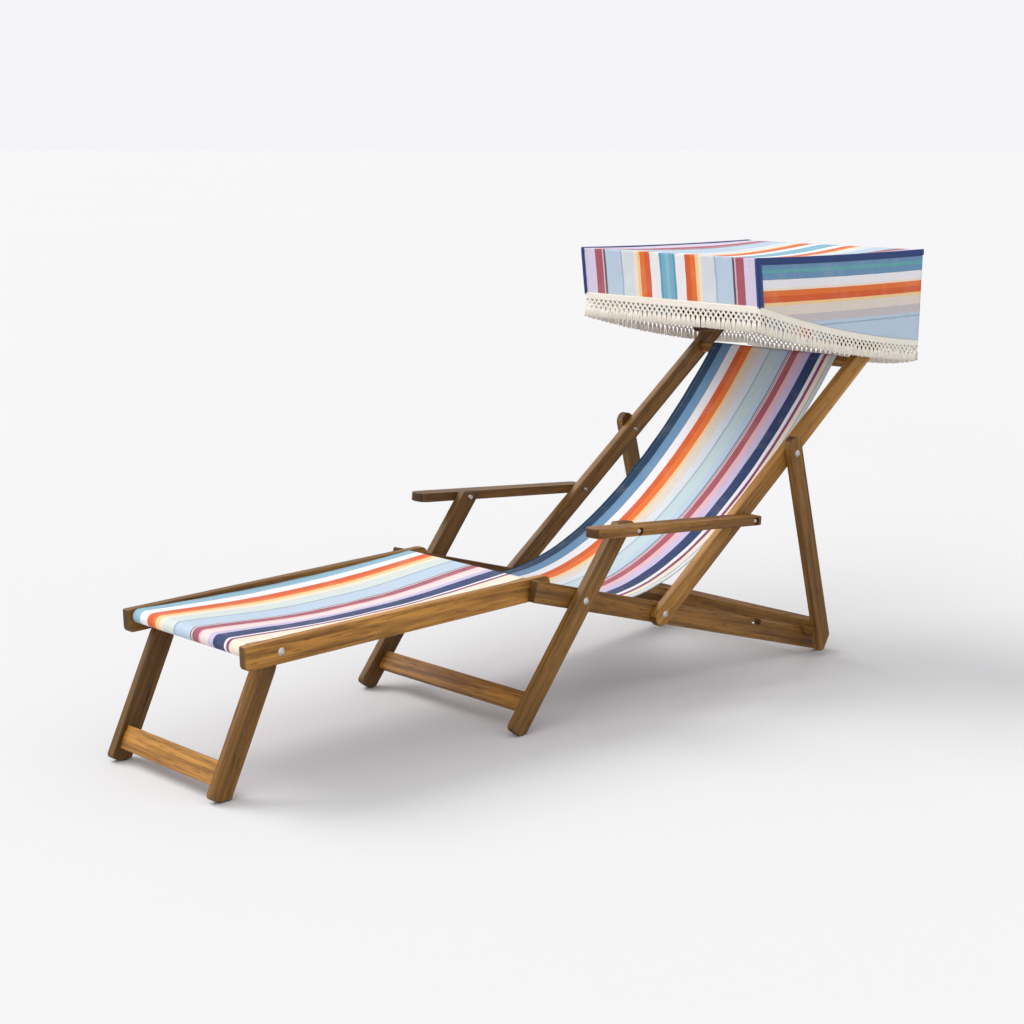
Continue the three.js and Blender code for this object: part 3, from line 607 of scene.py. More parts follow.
# Down the canopy's side panels, from the top edge
CANOPY_SIDE = (
    Stripe(26, STEEL_BLUE), Stripe(9, SEA_GREEN), Stripe(16, STEEL_BLUE), Stripe(21, WHITE), Stripe(6, CREAM),
    Stripe(14, ORANGE), Stripe(15, ORANGE_DEEP), Stripe(8, PEACH), Stripe(24, OAT), Stripe(20, GREIGE),
    Stripe(8, SKY), Stripe(4, SLATE_LINE), Stripe(80, SKY),
)


def width_of(stripes: Iterable[Stripe]) -> float:
    """Return how wide a run of stripes is, in metres."""
    return sum(stripe.width for stripe in stripes) / MM_PER_M


@dataclass(frozen=True)
class ClothFinish(Finish):
    """Yarn-dyed striped canvas, coloured across the first number of its map, in metres."""

    stripes: tuple[Stripe, ...] = ()
    start_at: float = 0.0
    hem_rows: tuple[float, ...] = ()
    seam_rows: tuple[float, ...] = ()
    threads: float = 1500.0
    stitch: float = 0.005
    thread: Dye = (226, 220, 206)
    faded: Dye = (236, 228, 214)
    wander: float = 0.0012
    wander_scale: Triple = (0, 30, 0)

    def build(self, effects: Effects) -> Material:
        """Make the material.

        Args:
            effects: The shared groups.

        Returns:
            The material.
        """
        material, nodes, shader = self.start()
        chart = nodes.add("ShaderNodeUVMap", uv_map="cloth").outputs[0]
        parts = nodes.add("ShaderNodeSeparateXYZ")
        nodes.join(chart, parts.inputs[0])
        across, along = parts.outputs[0], parts.outputs[1]
        weave = nodes.place(effects.plain_weave, Vector=chart, Threads=self.threads)
        use = nodes.place(effects.handling, Vector=chart, Amount=1.0)
        yarn = nodes.math("MULTIPLY", weave.outputs["Shade"], 0.16)
        dyed = nodes.blend(yarn, self._woven(nodes, chart, across), (0.0, 0.0, 0.0, 1.0))
        dyed = nodes.blend(nodes.math("MULTIPLY", use.outputs["Mask"], 0.10), dyed, linear(*self.faded))
        height = nodes.math("MULTIPLY", weave.outputs["Height"], 0.5)
        for rows, offset, run in ((self.hem_rows, across, along), (self.seam_rows, along, across)):
            for row in rows:
                away = nodes.math("SUBTRACT", offset, row)
                sewn = nodes.place(effects.stitch_row, Distance=away, Along=run, Pitch=self.stitch)
                shown = nodes.math("MULTIPLY", sewn.outputs["Mask"], 0.25)
                dyed = nodes.blend(shown, dyed, linear(*self.thread))
                height = nodes.math("SUBTRACT", height, nodes.math("MULTIPLY", sewn.outputs["Pull"], 0.9))
                height = nodes.math("ADD", height, sewn.outputs["Mask"])
        rough = nodes.stretch(weave.outputs["Shade"], 0.0, 1.0, 0.78, 0.94)
        nodes.fill(shader, Base_Color=dyed, Roughness=rough, Specular_IOR_Level=0.25)
        nodes.fill(shader, Sheen_Weight=0.12, Sheen_Roughness=0.5)
        self.bump(nodes, shader, height, 0.0006, 0.55)
        return material

    def _woven(self, nodes: NodeTree, chart: Socket, across: Socket) -> Socket:
        """Colour the stripes, whose edges wander a little as woven ones do.

        Args:
            nodes: The material's nodes.
            chart: The cloth's map.
            across: The map's first number.

        Returns:
            The colour socket.
        """
        width = width_of(self.stripes)
        drift = nodes.noise(chart, self.wander_scale, 2.0)
        drift = nodes.math("MULTIPLY", nodes.math("SUBTRACT", drift, 0.5), self.wander)
        placed = nodes.math("ADD", across, drift)
        share = nodes.stretch(placed, self.start_at, self.start_at + width, 0.0, 1.0)
        ramp = nodes.add("ShaderNodeValToRGB")
        ramp.color_ramp.interpolation = "CONSTANT"
        steps = ramp.color_ramp.elements
        reached = 0.0
        for index, stripe in enumerate(self.stripes):
            position = reached / width / MM_PER_M
            step = steps[index] if index < len(steps) else steps.new(position)
            step.position = position
            step.color = linear(*stripe.colour)
            reached += stripe.width
        nodes.join(share, ramp.inputs[0])
        return ramp.outputs[0]


@dataclass(frozen=True)
class TapeFinish(Finish):
    """Plain woven tape or twisted cord, one dye with its own weave."""

    dye: Dye = NAVY
    twist_shade_and_wear: Dye = (22, 36, 70)
    twist: Triple = (700.0, 700.0, 700.0)
    depth: float = 0.0005

    def build(self, effects: Effects) -> Material:
        """Make the material.

        Args:
            effects: The shared groups.

        Returns:
            The material.
        """
        material, nodes, shader = self.start()
        place = nodes.add("ShaderNodeTexCoord")
        ply = nodes.noise(place.outputs["Object"], self.twist, 2.0)
        use = nodes.place(effects.handling, Vector=place.outputs["Object"], Amount=0.7)
        twist_shade_and_wear = linear(*self.twist_shade_and_wear)
        # Painted shade in the twist of the cord, then worn patches darkened with the same colour.
        colour = nodes.blend(nodes.stretch(ply, 0.35, 0.65, 0.0, 0.55), linear(*self.dye), twist_shade_and_wear)
        colour = nodes.blend(nodes.math("MULTIPLY", use.outputs["Mask"], 0.2), colour, twist_shade_and_wear)
        rough = nodes.stretch(ply, 0.3, 0.7, 0.8, 0.95)
        nodes.fill(shader, Base_Color=colour, Roughness=rough, Specular_IOR_Level=0.2, Sheen_Weight=0.15)
        self.bump(nodes, shader, ply, self.depth, 0.6)
        return material


DOWN = Vector((0.0, 0.0, -1.0))
KNOT_SIDES = 6
# A knot's rings between its poles, each with its reach and its height as shares of the knot's size
KNOT_RINGS = ((0.75, 0.62), (1.0, 0.0), (0.75, -0.62))


@dataclass
class Surface:
    """Collects vertices, faces and their cloth map, and turns them into an object."""

    name: str
    verts: list[Vector] = field(default_factory=list)
    faces: list[tuple[int, ...]] = field(default_factory=list)
    charts: list[Point] = field(default_factory=list)
    dress: list[int] = field(default_factory=list)

    def point(self, where: Vector, chart: Point = (0.0, 0.0)) -> int:
        """Add a vertex.

        Args:
            where: Its place.
            chart: Its place on the cloth's map, in metres.

        Returns:
            Its number.
        """
        self.verts.append(where)
        self.charts.append(chart)
        return len(self.verts) - 1

    def grid(
        self, rows: Sequence[Sequence[int]], material: int = 0, flip: bool = False, closed: bool = False
    ) -> None:
        """Join rows of vertices with quads.

        Args:
            rows: Vertex numbers, row by row.
            material: Which material the faces take.
            flip: Whether the faces turn the other way.
            closed: Whether each row joins its own start.
        """
        for first, second in zip(rows, rows[1:]):
            count = len(first) if closed else len(first) - 1
            for i in range(count):
                j = (i + 1) % len(first)
                face = (first[i], first[j], second[j], second[i])
                self.faces.append(face[::-1] if flip else face)
                self.dress.append(material)

    def tube(self, path: Sequence[Vector], radius: float, sides: int = 5, taper: float = 1.0) -> None:
        """Add a closed tube along a path.

        Args:
            path: Its centreline.
            radius: Its radius at the start, in metres.
            sides: How many sides it has.
            taper: Its radius at the end, as a share of the first.
        """
        rings: list[list[int]] = []
        for i, where in enumerate(path):
            ahead = (path[min(i + 1, len(path) - 1)] - path[max(i - 1, 0)]).normalized()
            side = ahead.orthogonal().normalized()
            up = ahead.cross(side)
            size = radius * (1 + (taper - 1) * i / max(len(path) - 1, 1))
            rings.append([
                self.point(where + size * (math.cos(a) * side + math.sin(a) * up))
                for a in (2 * math.pi * k / sides for k in range(sides))
            ])
        self.grid(rings, closed=True)
        for ring, turn in ((rings[0], True), (rings[-1], False)):
            self.faces.append(tuple(ring[::-1] if turn else ring))
            self.dress.append(0)

    def knot(self, centre: Vector, out: Vector, along: Vector, size: Vector) -> None:
        """Add a small rounded knot.

        Args:
            centre: Its middle.
            out: The direction that it stands out in.
            along: The direction of the band.
            size: Half of its length along, out and up, in metres.
        """
        up = -DOWN
        top = self.point(centre + up * size.z)
        bottom = self.point(centre - up * size.z)
        rows = []
        for reach, height in KNOT_RINGS:
            rows.append([
                self.point(
                    centre
                    + along * size.x * reach * math.cos(a)
                    + out * size.y * reach * math.sin(a)
                    + up * size.z * height
                )
                for a in (2 * math.pi * k / KNOT_SIDES for k in range(KNOT_SIDES))
            ])
        self.grid(rows, closed=True)
        for i in range(KNOT_SIDES):
            j = (i + 1) % KNOT_SIDES
            self.faces.append((top, rows[0][j], rows[0][i]))
            self.faces.append((bottom, rows[-1][i], rows[-1][j]))
            self.dress.extend((0, 0))

    def build(self, materials: Iterable[Material], smooth: bool = True) -> Object:
        """Make the object.

        Args:
            materials: Its materials, in order.
            smooth: Whether its faces shade smoothly.

        Returns:
            The new object, linked to the scene.
        """
        mesh = bpy.data.meshes.new(self.name)
        mesh.from_pydata([tuple(v) for v in self.verts], [], self.faces)
        chart = mesh.uv_layers.new(name="cloth")
        for loop in mesh.loops:
            chart.data[loop.index].uv = self.charts[loop.vertex_index]
        for material in materials:
            mesh.materials.append(material)
        mesh.polygons.foreach_set("material_index", self.dress)
        mesh.polygons.foreach_set("use_smooth", [smooth] * len(self.faces))
        mesh.validate()
        obj = bpy.data.objects.new(self.name, mesh)
        bpy.context.scene.collection.objects.link(obj)
        return obj


def bake_modifiers(obj: Object) -> None:
    """Replace an object's mesh with what its modifiers make of it.

    Args:
        obj: The object.
    """
    graph = bpy.context.evaluated_depsgraph_get()
    mesh = bpy.data.meshes.new_from_object(obj.evaluated_get(graph))
    obj.modifiers.clear()
    obj.data = mesh


def middle_of(node: str) -> Point:
    """Return the middle of a node's box at rest, in the side plane."""
    low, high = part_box(node)
    middle = (low + high) / 2
    return (middle.y, middle.z)


def between(first: Point, last: Point, share: float) -> Point:
    """Return a point on the straight line from one point to another."""
    return (first[0] + share * (last[0] - first[0]), first[1] + share * (last[1] - first[1]))


def normal_at(path: Sequence[Point], index: int) -> Vector:
    """Return the direction square to a path in the side plane.

    Args:
        path: The path.
        index: Which of its points.

    Returns:
        The direction. It points up where the path runs from front to rear.
    """
    before, after = path[max(index - 1, 0)], path[min(index + 1, len(path) - 1)]
    angle = math.atan2(after[1] - before[1], after[0] - before[0])
    return Vector((0.0, -math.sin(angle), math.cos(angle)))


def smoothstep(value: float) -> float:
    """Ease a value between 0 and 1."""
    held = min(max(value, 0.0), 1.0)
    return held * held * (3 - 2 * held)


def pair(name: str) -> tuple[str, str]:
    """Return the names of a left and a right piece."""
    return (f"{name}_left", f"{name}_right")


def toned(dye: Dye, tone: float) -> Dye:
    """Lighten or darken a colour by a share."""
    return tuple(min(255, round(channel * tone)) for channel in dye)


@dataclass
class Member:
    """One kind of timber piece: its nodes and the way that its grain runs."""

    nodes: tuple[str, ...]
    slope: float = 0.0
    grain: Grain = Grain.LENGTHWISE
    tone: float = 1.0


ROUND_BARS = (
    "seat_front_bar", "back_top_bar", "footrest_front_bar", "footrest_rear_bar", "canopy_front_bar",
    "canopy_rear_bar",
)


@dataclass
class Timber:
    """All the hardwood members, dressed in the shape that the frame gives them.

    The slopes are those of the members at rest in the side plane, in degrees from the floor. The tones
    lighten or darken a board. The boards on the right are darkened further as painted shade.
    """

    effects: Effects
    seat_slope: float = -15.87
    leg_slope: float = 52.08
    back_slope: float = 37.2
    arm_slope: float = -4.34
    prop_slope: float = 104.6
    footrest_slope: float = 1.36
    footrest_leg_slope: float = 64.9
    front_strut_slope: float = 154.2
    rear_strut_slope: float = 56.0
    board_tones: Point = (0.95, 1.05)
    # Painted shade: the share of their tone that the boards on the right keep.
    right_tone: float = 0.8
    cuts: Point = (0, 9)
    figures: Point = (0.6, 0.85)

    def members(self) -> list[Member]:
        """List every member with its grain.

        Returns:
            The members, in the order that their tones are drawn in.
        """
        return [
            Member(pair("seat_rail"), self.seat_slope, tone=1.02),
            Member(pair("front_leg"), self.leg_slope, tone=0.96),
            Member(pair("back_rail"), self.back_slope, tone=1.18),
            Member(pair("arm"), self.arm_slope, tone=1.06),
            Member(pair("prop_leg"), self.prop_slope),
            Member(pair("footrest_rail"), self.footrest_slope, tone=1.26),
            Member(pair("footrest_leg"), self.footrest_leg_slope, tone=0.93),
            Member(pair("canopy_base"), 0.0),
            Member(pair("canopy_front_strut"), self.front_strut_slope),
            Member(pair("canopy_rear_strut"), self.rear_strut_slope),
            Member(("front_leg_bar", "footrest_leg_bar"), grain=Grain.CROSSWISE, tone=1.24),
            Member(("prop_bar",), grain=Grain.CROSSWISE),
            Member(ROUND_BARS, grain=Grain.CROSSWISE, tone=1.14),
        ]

    def dress(self, nodes: dict[str, Object]) -> None:
        """Give each member its own cut of the wood.

        Args:
            nodes: The frame's objects by node name.
        """
        shades = random.Random(7)
        for member in self.members():
            for name in member.nodes:
                tone = shades.uniform(*self.board_tones) * member.tone
                # Painted shade darkens the boards on the right.
                tone *= self.right_tone if name.endswith("_right") else 1.0
                finish = WoodFinish(
                    f"oiled_{name}",
                    slope=member.slope,
                    grain=member.grain,
                    seed=shades.uniform(*self.cuts),
                    dark=toned(WoodFinish.dark, tone),
                    middle=toned(WoodFinish.middle, tone),
                    light=toned(WoodFinish.light, tone),
                    figure=shades.uniform(*self.figures),
                )
                nodes[name].material_slots[0].material = finish.build(self.effects)
                LOG.info("dressed %s", name)


@dataclass
class Fittings:
    """The pivot bolts and the glides."""

    effects: Effects

    def dress(self, nodes: dict[str, Object]) -> None:
        """Give bolts their steel and glides their dark pads.

        Args:
            nodes: The frame's objects by node name.
        """
        steel = SteelFinish("bright_steel").build(self.effects)
        pad = PadFinish("dark_glide").build(self.effects)
        for name, obj in nodes.items():
            if "bolt" in name:
                obj.material_slots[0].material = steel
            elif "glide" in name:
                obj.material_slots[0].material = pad
        LOG.info("dressed bolts and glides")


@dataclass
class Sling:
    """A strip of canvas sewn round a bar at each end.

    The strip leaves its first bar and reaches its last at set slopes, each with a handle that says how far it
    keeps to that slope.
    """

    effects: Effects
    name: str
    node: str
    bars: tuple[str, str]
    start: Point
    end: Point
    leave: float
    arrive: float
    start_handle: float
    end_handle: float
    stripes: tuple[Stripe, ...]
    half_width: float = 0.202
    bar_radius: float = 0.0143
    thickness: float = 0.0016
    wrap: float = math.radians(205)
    dip: float = 0.003
    slack_run: float = 0.16
    ripple: float = 0.0007
    hem_width: float = 0.011
    hem_rise: float = 0.0005
    hem_edge: float = 0.003
    seam_offset: float = 0.009
    waves: int = 7
    columns: int = 48
    turns: int = 22
    steps: int = 120

    def on_bar(self, centre: Point, angle: float) -> Point:
        """Return a point of the cloth's middle on its way round a bar."""
        radius = self.bar_radius + self.thickness / 2
        return (centre[0] + radius * math.cos(angle), centre[1] + radius * math.sin(angle))

    def spine(self) -> list[Point]:
        """Lay the strip's middle line in the side plane, from sleeve to sleeve.

        Returns:
            Its points.
        """
        first_top = self.leave + math.pi / 2
        last_top = self.arrive + math.pi / 2
        shares = [i / self.turns for i in range(self.turns + 1)]
        first = [self.on_bar(self.start, first_top + self.wrap * (1 - share)) for share in shares]
        last = [self.on_bar(self.end, last_top - self.wrap * share) for share in shares]
        a, d = first[-1], last[0]
        b = (a[0] + self.start_handle * math.cos(self.leave), a[1] + self.start_handle * math.sin(self.leave))
        c = (d[0] - self.end_handle * math.cos(self.arrive), d[1] - self.end_handle * math.sin(self.arrive))
        run = []
        for i in range(1, self.steps):
            t = i / self.steps
            weights = ((1 - t) ** 3, 3 * (1 - t) ** 2 * t, 3 * (1 - t) * t * t, t ** 3)
            run.append(tuple(sum(w * p[k] for w, p in zip(weights, (a, b, c, d))) for k in (0, 1)))
        return first + run + last

    def finish(self, sleeve: float, length: float) -> ClothFinish:
        """Choose the striped cloth, with a row of stitches at each hem and each sleeve.

        Args:
            sleeve: How much of the strip goes round a bar.
            length: How long the strip is.

        Returns:
            The cloth's finish.
        """
        return ClothFinish(
            f"striped_canvas_{self.name}",
            stripes=self.stripes,
            start_at=-self.half_width,
            hem_rows=(-self.half_width + self.hem_width, self.half_width - self.hem_width),
            seam_rows=(sleeve + self.seam_offset, length - sleeve - self.seam_offset),
        )

    def build(self) -> Object:
        """Make the sling.

        Returns:
            The finished object.
        """
        line = self.spine()
        reach = [0.0]
        for a, b in zip(line, line[1:]):
            reach.append(reach[-1] + math.dist(a, b))
        sleeve = reach[self.turns]
        sheet = Surface(self.name)
        draw = random.Random(11)
        waves = [
            (draw.uniform(3, 11), draw.uniform(2, 7), draw.uniform(0, 6.28), draw.uniform(0.1, 0.4))
            for _ in range(self.waves)
        ]
        faces = []
        for face in (1, -1):
            rows = []
            for i, (y, z) in enumerate(line):
                normal = normal_at(line, i)
                free = smoothstep((reach[i] - sleeve) / self.slack_run)
                free *= smoothstep((reach[-1] - sleeve - reach[i]) / self.slack_run)
                row = []
                for k in range(self.columns + 1):
                    share = k / self.columns
                    x = self.half_width * (2 * share - 1)
                    sag = -self.dip * free * math.sin(math.pi * share)
                    ripple = self.ripple * free * sum(
                        size * math.sin(phase + across * 7 * share + along * 9 * reach[i])
                        for across, along, phase, size in waves
                    )
                    inside_hem = self.hem_width - (self.half_width - abs(x))
                    hem = self.hem_rise * smoothstep(inside_hem / self.hem_edge)
                    lift = sag + ripple + face * (self.thickness / 2 + hem * free)
                    row.append(sheet.point(Vector((x, y, z)) + normal * lift, (x, reach[i])))
                rows.append(row)
            sheet.grid(rows, flip=face < 0)
            faces.append(rows)
        self._close(sheet, *faces)
        obj = sheet.build([self.finish(sleeve, reach[-1]).build(self.effects)])
        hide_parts(self.node)
        LOG.info("built %s, %.3f m of cloth", self.name, reach[-1])
        return obj

    @staticmethod
    def _close(sheet: Surface, tops: list[list[int]], bottoms: list[list[int]]) -> None:
        """Close the strip's edges between its two faces.

        Args:
            sheet: The strip.
            tops: Vertex numbers of its upper face, row by row.
            bottoms: The same of its lower face.
        """
        for side, flip in ((0, False), (-1, True)):
            edge = [[a[side], b[side]] for a, b in zip(tops, bottoms)]
            sheet.grid(edge, flip=flip)
        sheet.grid([tops[0], bottoms[0]], flip=True)
        sheet.grid([tops[-1], bottoms[-1]])


@dataclass
class HemStep:
    """One step of a walk round the canopy's hem, with the fringe's depth there."""

    where: Vector
    along: Vector
    outward: Vector
    depth: float


@dataclass
class Canopy:
    """The sewn cover, its bound seams and its knotted fringe, on the tilting frame."""

    effects: Effects
    pivot: Point
    half: float = 0.299
    cloth: float = 0.0016
    front_reach: float = 0.498
    rear_reach: float = 0.146
    height: float = 0.222
    top_fall: float = 0.006
    top_sag: float = 0.003
    top_slack: float = 0.018
    top_ripple: float = 0.0008
    bar_share: float = 0.045
    front_drop: float = 0.120
    rear_drop: float = 0.241
    front_rake: float = 0.015
    rear_rake: float = 0.007
    hem_dip: float = 0.030
    rear_hem_sag: float = 0.020
    least_wave: float = 0.0014
    most_wave: float = 0.0050
    belly_from: float = 0.24
    belly_ease: float = 0.3
    pucker_depth: float = 0.0011
    pucker_rise: float = 0.006
    pucker_fade: float = 0.022
    side_stitch: float = 0.011
    end_stitch: float = 0.006
    tape_stitch: float = 0.016
    weld_reach: float = 0.0004
    columns: int = 100
    drop_rows: int = 24
    top_rows: int = 96
    seam_up: int = 12
    seam_over: int = 40
    seam_down: tuple[float, ...] = (0.012, 0.025, 0.04, 0.055)
    front_fringe: float = 0.060
    rear_fringe: float = 0.050
    fringe_inset: float = 0.0012
    repeats: int = 150
    heading_share: float = 0.22
    heading_rib: float = 0.0006
    net_levels: tuple[float, ...] = (0.24, 0.40, 0.56)
    net_sway: Point = (0.0010, 0.0006)
    cord_cross: float = 0.0004
    knot_size: Triple = (0.0040, 0.0022, 0.0030)
    cord_radius: float = 0.0011
    cord_pitch: float = 0.0019
    cord_sides: int = 5
    tail_strands: int = 7
    tail_pitch: float = 0.0023
    tail_stray: float = 0.0004
    tail_lean: float = 0.0012
    tail_lengths: Point = (0.93, 1.0)
    # The folded tape's section: how far out from the panel, and how far up from the seam
    tape_section: tuple[Point, ...] = (
        (-0.0085, 0.0004), (-0.0078, 0.0012), (-0.0030, 0.0016), (0.0004, 0.0026), (0.0022, 0.0010),
        (0.0014, -0.0040), (0.0011, -0.0145), (0.0003, -0.0154), (-0.0006, -0.0140), (-0.0020, -0.0022),
        (-0.0070, -0.0004),
    )
    # The heading's section: how far out, which way a rib moves it, the share of its depth and how far up
    heading_section: tuple[tuple[float, int, float, float], ...] = (
        (0.0012, 0, 0.0, 0.0045), (0.0030, 1, 0.0, 0.0030), (0.0024, 1, 0.0, 0.0), (0.0012, 1, 0.55, 0.0),
        (0.0016, 1, 0.8, 0.0), (0.0, 0, 1.05, 0.0), (-0.0012, -1, 0.7, 0.0), (-0.0010, 0, 0.1, 0.0),
    )
    flat_length: float = field(default=0.0, init=False)

    def corners(self) -> tuple[Point, Point, Point, Point]:
        """Place the front hem, front top, rear top and rear hem corners in the side plane.

        Returns:
            The four corners.
        """
        y, z = self.pivot
        return (
            (y - self.front_reach, z + self.height + self.top_fall - self.front_drop),
            (y - self.front_reach - self.front_rake, z + self.height + self.top_fall),
            (y + self.rear_reach + self.rear_rake, z + self.height),
            (y + self.rear_reach, z + self.height - self.rear_drop),
        )

    def top(self, share: float) -> Point:
        """Return a point of the top edge, from front to rear.

        Args:
            share: How far along it is, 0 to 1.

        Returns:
            The point in the side plane.
        """
        _, front, rear, _ = self.corners()
        y, z = between(front, rear, share)
        return (y, z - 4 * share * (1 - share) * self.top_sag)

    def hem(self, share: float) -> Point:
        """Return a point of the side panel's hem, from front to rear.

        Args:
            share: How far along it is, 0 to 1.

        Returns:
            The point in the side plane.
        """
        front, _, _, rear = self.corners()
        y, z = between(front, rear, share)
        return (y, z - 2 * share * (1 - share) * self.hem_dip)

    def wave(self, x: float, y: float, down: float) -> float:
        """Work out how far the cloth stands in from its flat panel, more so between its top and its hem.

        Args:
            x: Where across the canopy.
            y: Where along it.
            down: How far down from its top edge, 0 to 1.

        Returns:
            The depth, in metres.
        """
        slow = math.sin(11 * y + 2.1 * x) + 0.6 * math.sin(23 * y - 3 * x + 1.3)
        slow += 0.4 * math.sin(37 * x + 5 * y)
        drape = 0.5 + 0.25 * slow + 0.18 * math.sin(61 * x + 47 * y + 5 * down)
        belly = smoothstep((down - self.belly_from) / self.belly_ease)
        belly *= smoothstep((1 - down) / self.belly_ease)
        return self.least_wave + self.most_wave * belly * max(drape, 0.0)

    def pucker(self, run: float, edge: float) -> float:
        """Work out how far the cloth is drawn in beside a sewn edge.

        Args:
            run: The place along the edge.
            edge: The distance from it.

        Returns:
            The depth, in metres.
        """
        if edge <= 0:
            return 0.0
        gather = 0.5 + 0.5 * math.sin(run * 210 + 1.7 * math.sin(run * 41))
        rise = smoothstep(edge / self.pucker_rise)
        return self.pucker_depth * gather * rise * math.exp(-edge / self.pucker_fade)

    def side_point(self, share: float, down: float, side: Side) -> Vector:
        """Return a point of a side panel.

        Args:
            share: From its front edge, 0, to its rear edge, 1.
            down: From its top edge, 0, to its hem, 1.
            side: Which panel.

        Returns:
            The point.
        """
        top = self.top(share)
        y, z = between(top, self.hem(share), down)
        held = math.sin(math.pi * share) ** 0.5 if 0 < share < 1 else 0.0
        inward = self.wave(0.3 * side.value, y, down) * held * smoothstep(down * 6)
        inward += self.pucker(y, top[1] - z) + self.pucker(z, share * (self.front_reach + self.rear_reach))
        return Vector((side.value * (self.half - inward), y, z))

    def middle_share(self, x: float) -> float:
        """Return 1 over most of the canopy's width, falling to 0 at its sides."""
        return 1 - (x / self.half) ** 4

    def end_point(self, x: float, down: float, front: bool) -> Vector:
        """Return a point of the front or the rear panel.

        Args:
            x: Where across the canopy.
            down: From its top edge, 0, to its hem, 1.
            front: Whether it is the front panel.

        Returns:
            The point.
        """
        hem_front, top_front, top_rear, hem_rear = self.corners()
        top, hem = (top_front, hem_front) if front else (top_rear, hem_rear)
        y, z = between(top, hem, down)
        z -= 0.0 if front else down * self.rear_hem_sag * self.middle_share(x)
        inward = self.wave(x, y, down) * self.middle_share(x) * smoothstep(down * 6)
        inward += self.pucker(x, top[1] - z) + self.pucker(z, self.half - abs(x))
        return Vector((x, y + (inward if front else -inward), z))

    def top_point(self, x: float, share: float) -> Vector:
        """Return a point of the top panel, which sags between its bars and its side seams.

        Args:
            x: Where across the canopy.
            share: From its front edge, 0, to its rear edge, 1.

        Returns:
            The point.
        """
        y, z = self.top(share)
        run = (share - self.bar_share) / (1 - 2 * self.bar_share)
        free = math.sin(math.pi * min(max(run, 0.0), 1.0))
        slack = self.top_slack * free * (1 - (x / self.half) ** 2)
        slack += self.top_ripple * math.sin(19 * x + 7 * share) * free
        return Vector((x, y, z - max(slack, 0.0)))

    def _strip(self, sheet: Surface) -> None:
        """Lay the main strip, up the front, over the top and down the rear.

        Args:
            sheet: The cover.
        """
        across = [self.half * (2 * k / self.columns - 1) for k in range(self.columns + 1)]
        drops = [i / self.drop_rows for i in range(self.drop_rows + 1)]
        lines = [[self.end_point(x, 1 - share, True) for x in across] for share in drops[:-1]]
        lines += [[self.top_point(x, i / self.top_rows) for x in across] for i in range(self.top_rows)]
        lines += [[self.end_point(x, down, False) for x in across] for down in drops]
        rows = []
        previous = lines[0][0]
        for line in lines:
            self.flat_length += (line[0] - previous).length
            previous = line[0]
            rows.append([sheet.point(where, (x, self.flat_length)) for x, where in zip(across, line)])
        sheet.grid(rows)

    def _panel(self, sheet: Surface, side: Side) -> None:
        """Let in a side panel.

        Args:
            sheet: The cover.
            side: Which panel.
        """
        rows = []
        for j in range(self.drop_rows + 1):
            row = []
            for i in range(self.top_rows + 1):
                share = i / self.top_rows
                where = self.side_point(share, j / self.drop_rows, side)
                row.append(sheet.point(where, (self.top(share)[1] - where.z, where.y)))
            rows.append(row)
        sheet.grid(rows, material=1, flip=side is Side.RIGHT)

    def cover(self) -> Object:
        """Make the cover as one sheet: front, top and rear in one strip, with a panel let in at each side.

        Returns:
            The finished object.
        """
        sheet = Surface("canopy_cover_cloth")
        self._strip(sheet)
        for side in Side:
            self._panel(sheet, side)
        main = ClothFinish(
            "striped_canvas_canopy",
            stripes=tuple(reversed(CANOPY_HALF)) + CANOPY_HALF,
            start_at=-width_of(CANOPY_HALF),
            hem_rows=(-self.half + self.side_stitch, self.half - self.side_stitch),
            seam_rows=(self.end_stitch, self.flat_length - self.end_stitch),
        )
        panel = ClothFinish("striped_canvas_side", stripes=CANOPY_SIDE, hem_rows=(self.tape_stitch,))
        obj = sheet.build([main.build(self.effects), panel.build(self.effects)])
        welded = bmesh.new()
        welded.from_mesh(obj.data)
        bmesh.ops.remove_doubles(welded, verts=welded.verts, dist=self.weld_reach)
        bmesh.ops.recalc_face_normals(welded, faces=welded.faces)
        welded.to_mesh(obj.data)
        welded.free()
        solid = obj.modifiers.new("cloth thickness", "SOLIDIFY")
        solid.thickness = self.cloth
        solid.offset = -1
        solid.use_even_offset = True
        bake_modifiers(obj)
        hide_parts("canopy_cover")
        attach(obj, "canopy")
        LOG.info("sewed the canopy's cover, %.3f m over front, top and rear", self.flat_length)
        return obj

    def seam_line(self) -> list[Point]:
        """Lay the bound seam of a side panel: up its front, along its top and a little way down its rear.

        Returns:
            Its points in the side plane.
        """
        hem_front, top_front, top_rear, hem_rear = self.corners()
        path = [between(hem_front, top_front, i / self.seam_up) for i in range(self.seam_up)]
        path += [self.top(i / self.seam_over) for i in range(self.seam_over + 1)]
        return path + [between(top_rear, hem_rear, share) for share in self.seam_down]

    def binding(self, side: Side) -> Object:
        """Make the navy tape that is folded over the seam of a side panel.

        Args:
            side: Which panel.

        Returns:
            The finished object.
        """
        tape = Surface(f"canopy_binding_{side.name.lower()}")
        out = Vector((side.value, 0.0, 0.0))
        path = self.seam_line()
        rows = []
        for i, (y, z) in enumerate(path):
            where = Vector((side.value * self.half, y, z))
            up = normal_at(path, i)
            rows.append([tape.point(where + out * aside + up * over) for aside, over in self.tape_section])
        tape.grid(rows, closed=True, flip=side is Side.LEFT)
        for row, turn in ((rows[0], side is Side.LEFT), (rows[-1], side is Side.RIGHT)):
            tape.faces.append(tuple(row if turn else row[::-1]))
            tape.dress.append(0)
        finish = TapeFinish(
            "navy_tape", dye=(44, 66, 122), twist_shade_and_wear=(28, 44, 88), twist=(500, 500, 500), depth=0.0004
        )
        obj = tape.build([finish.build(self.effects)])
        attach(obj, "canopy")
        LOG.info("bound the %s seam", side.name.lower())
        return obj

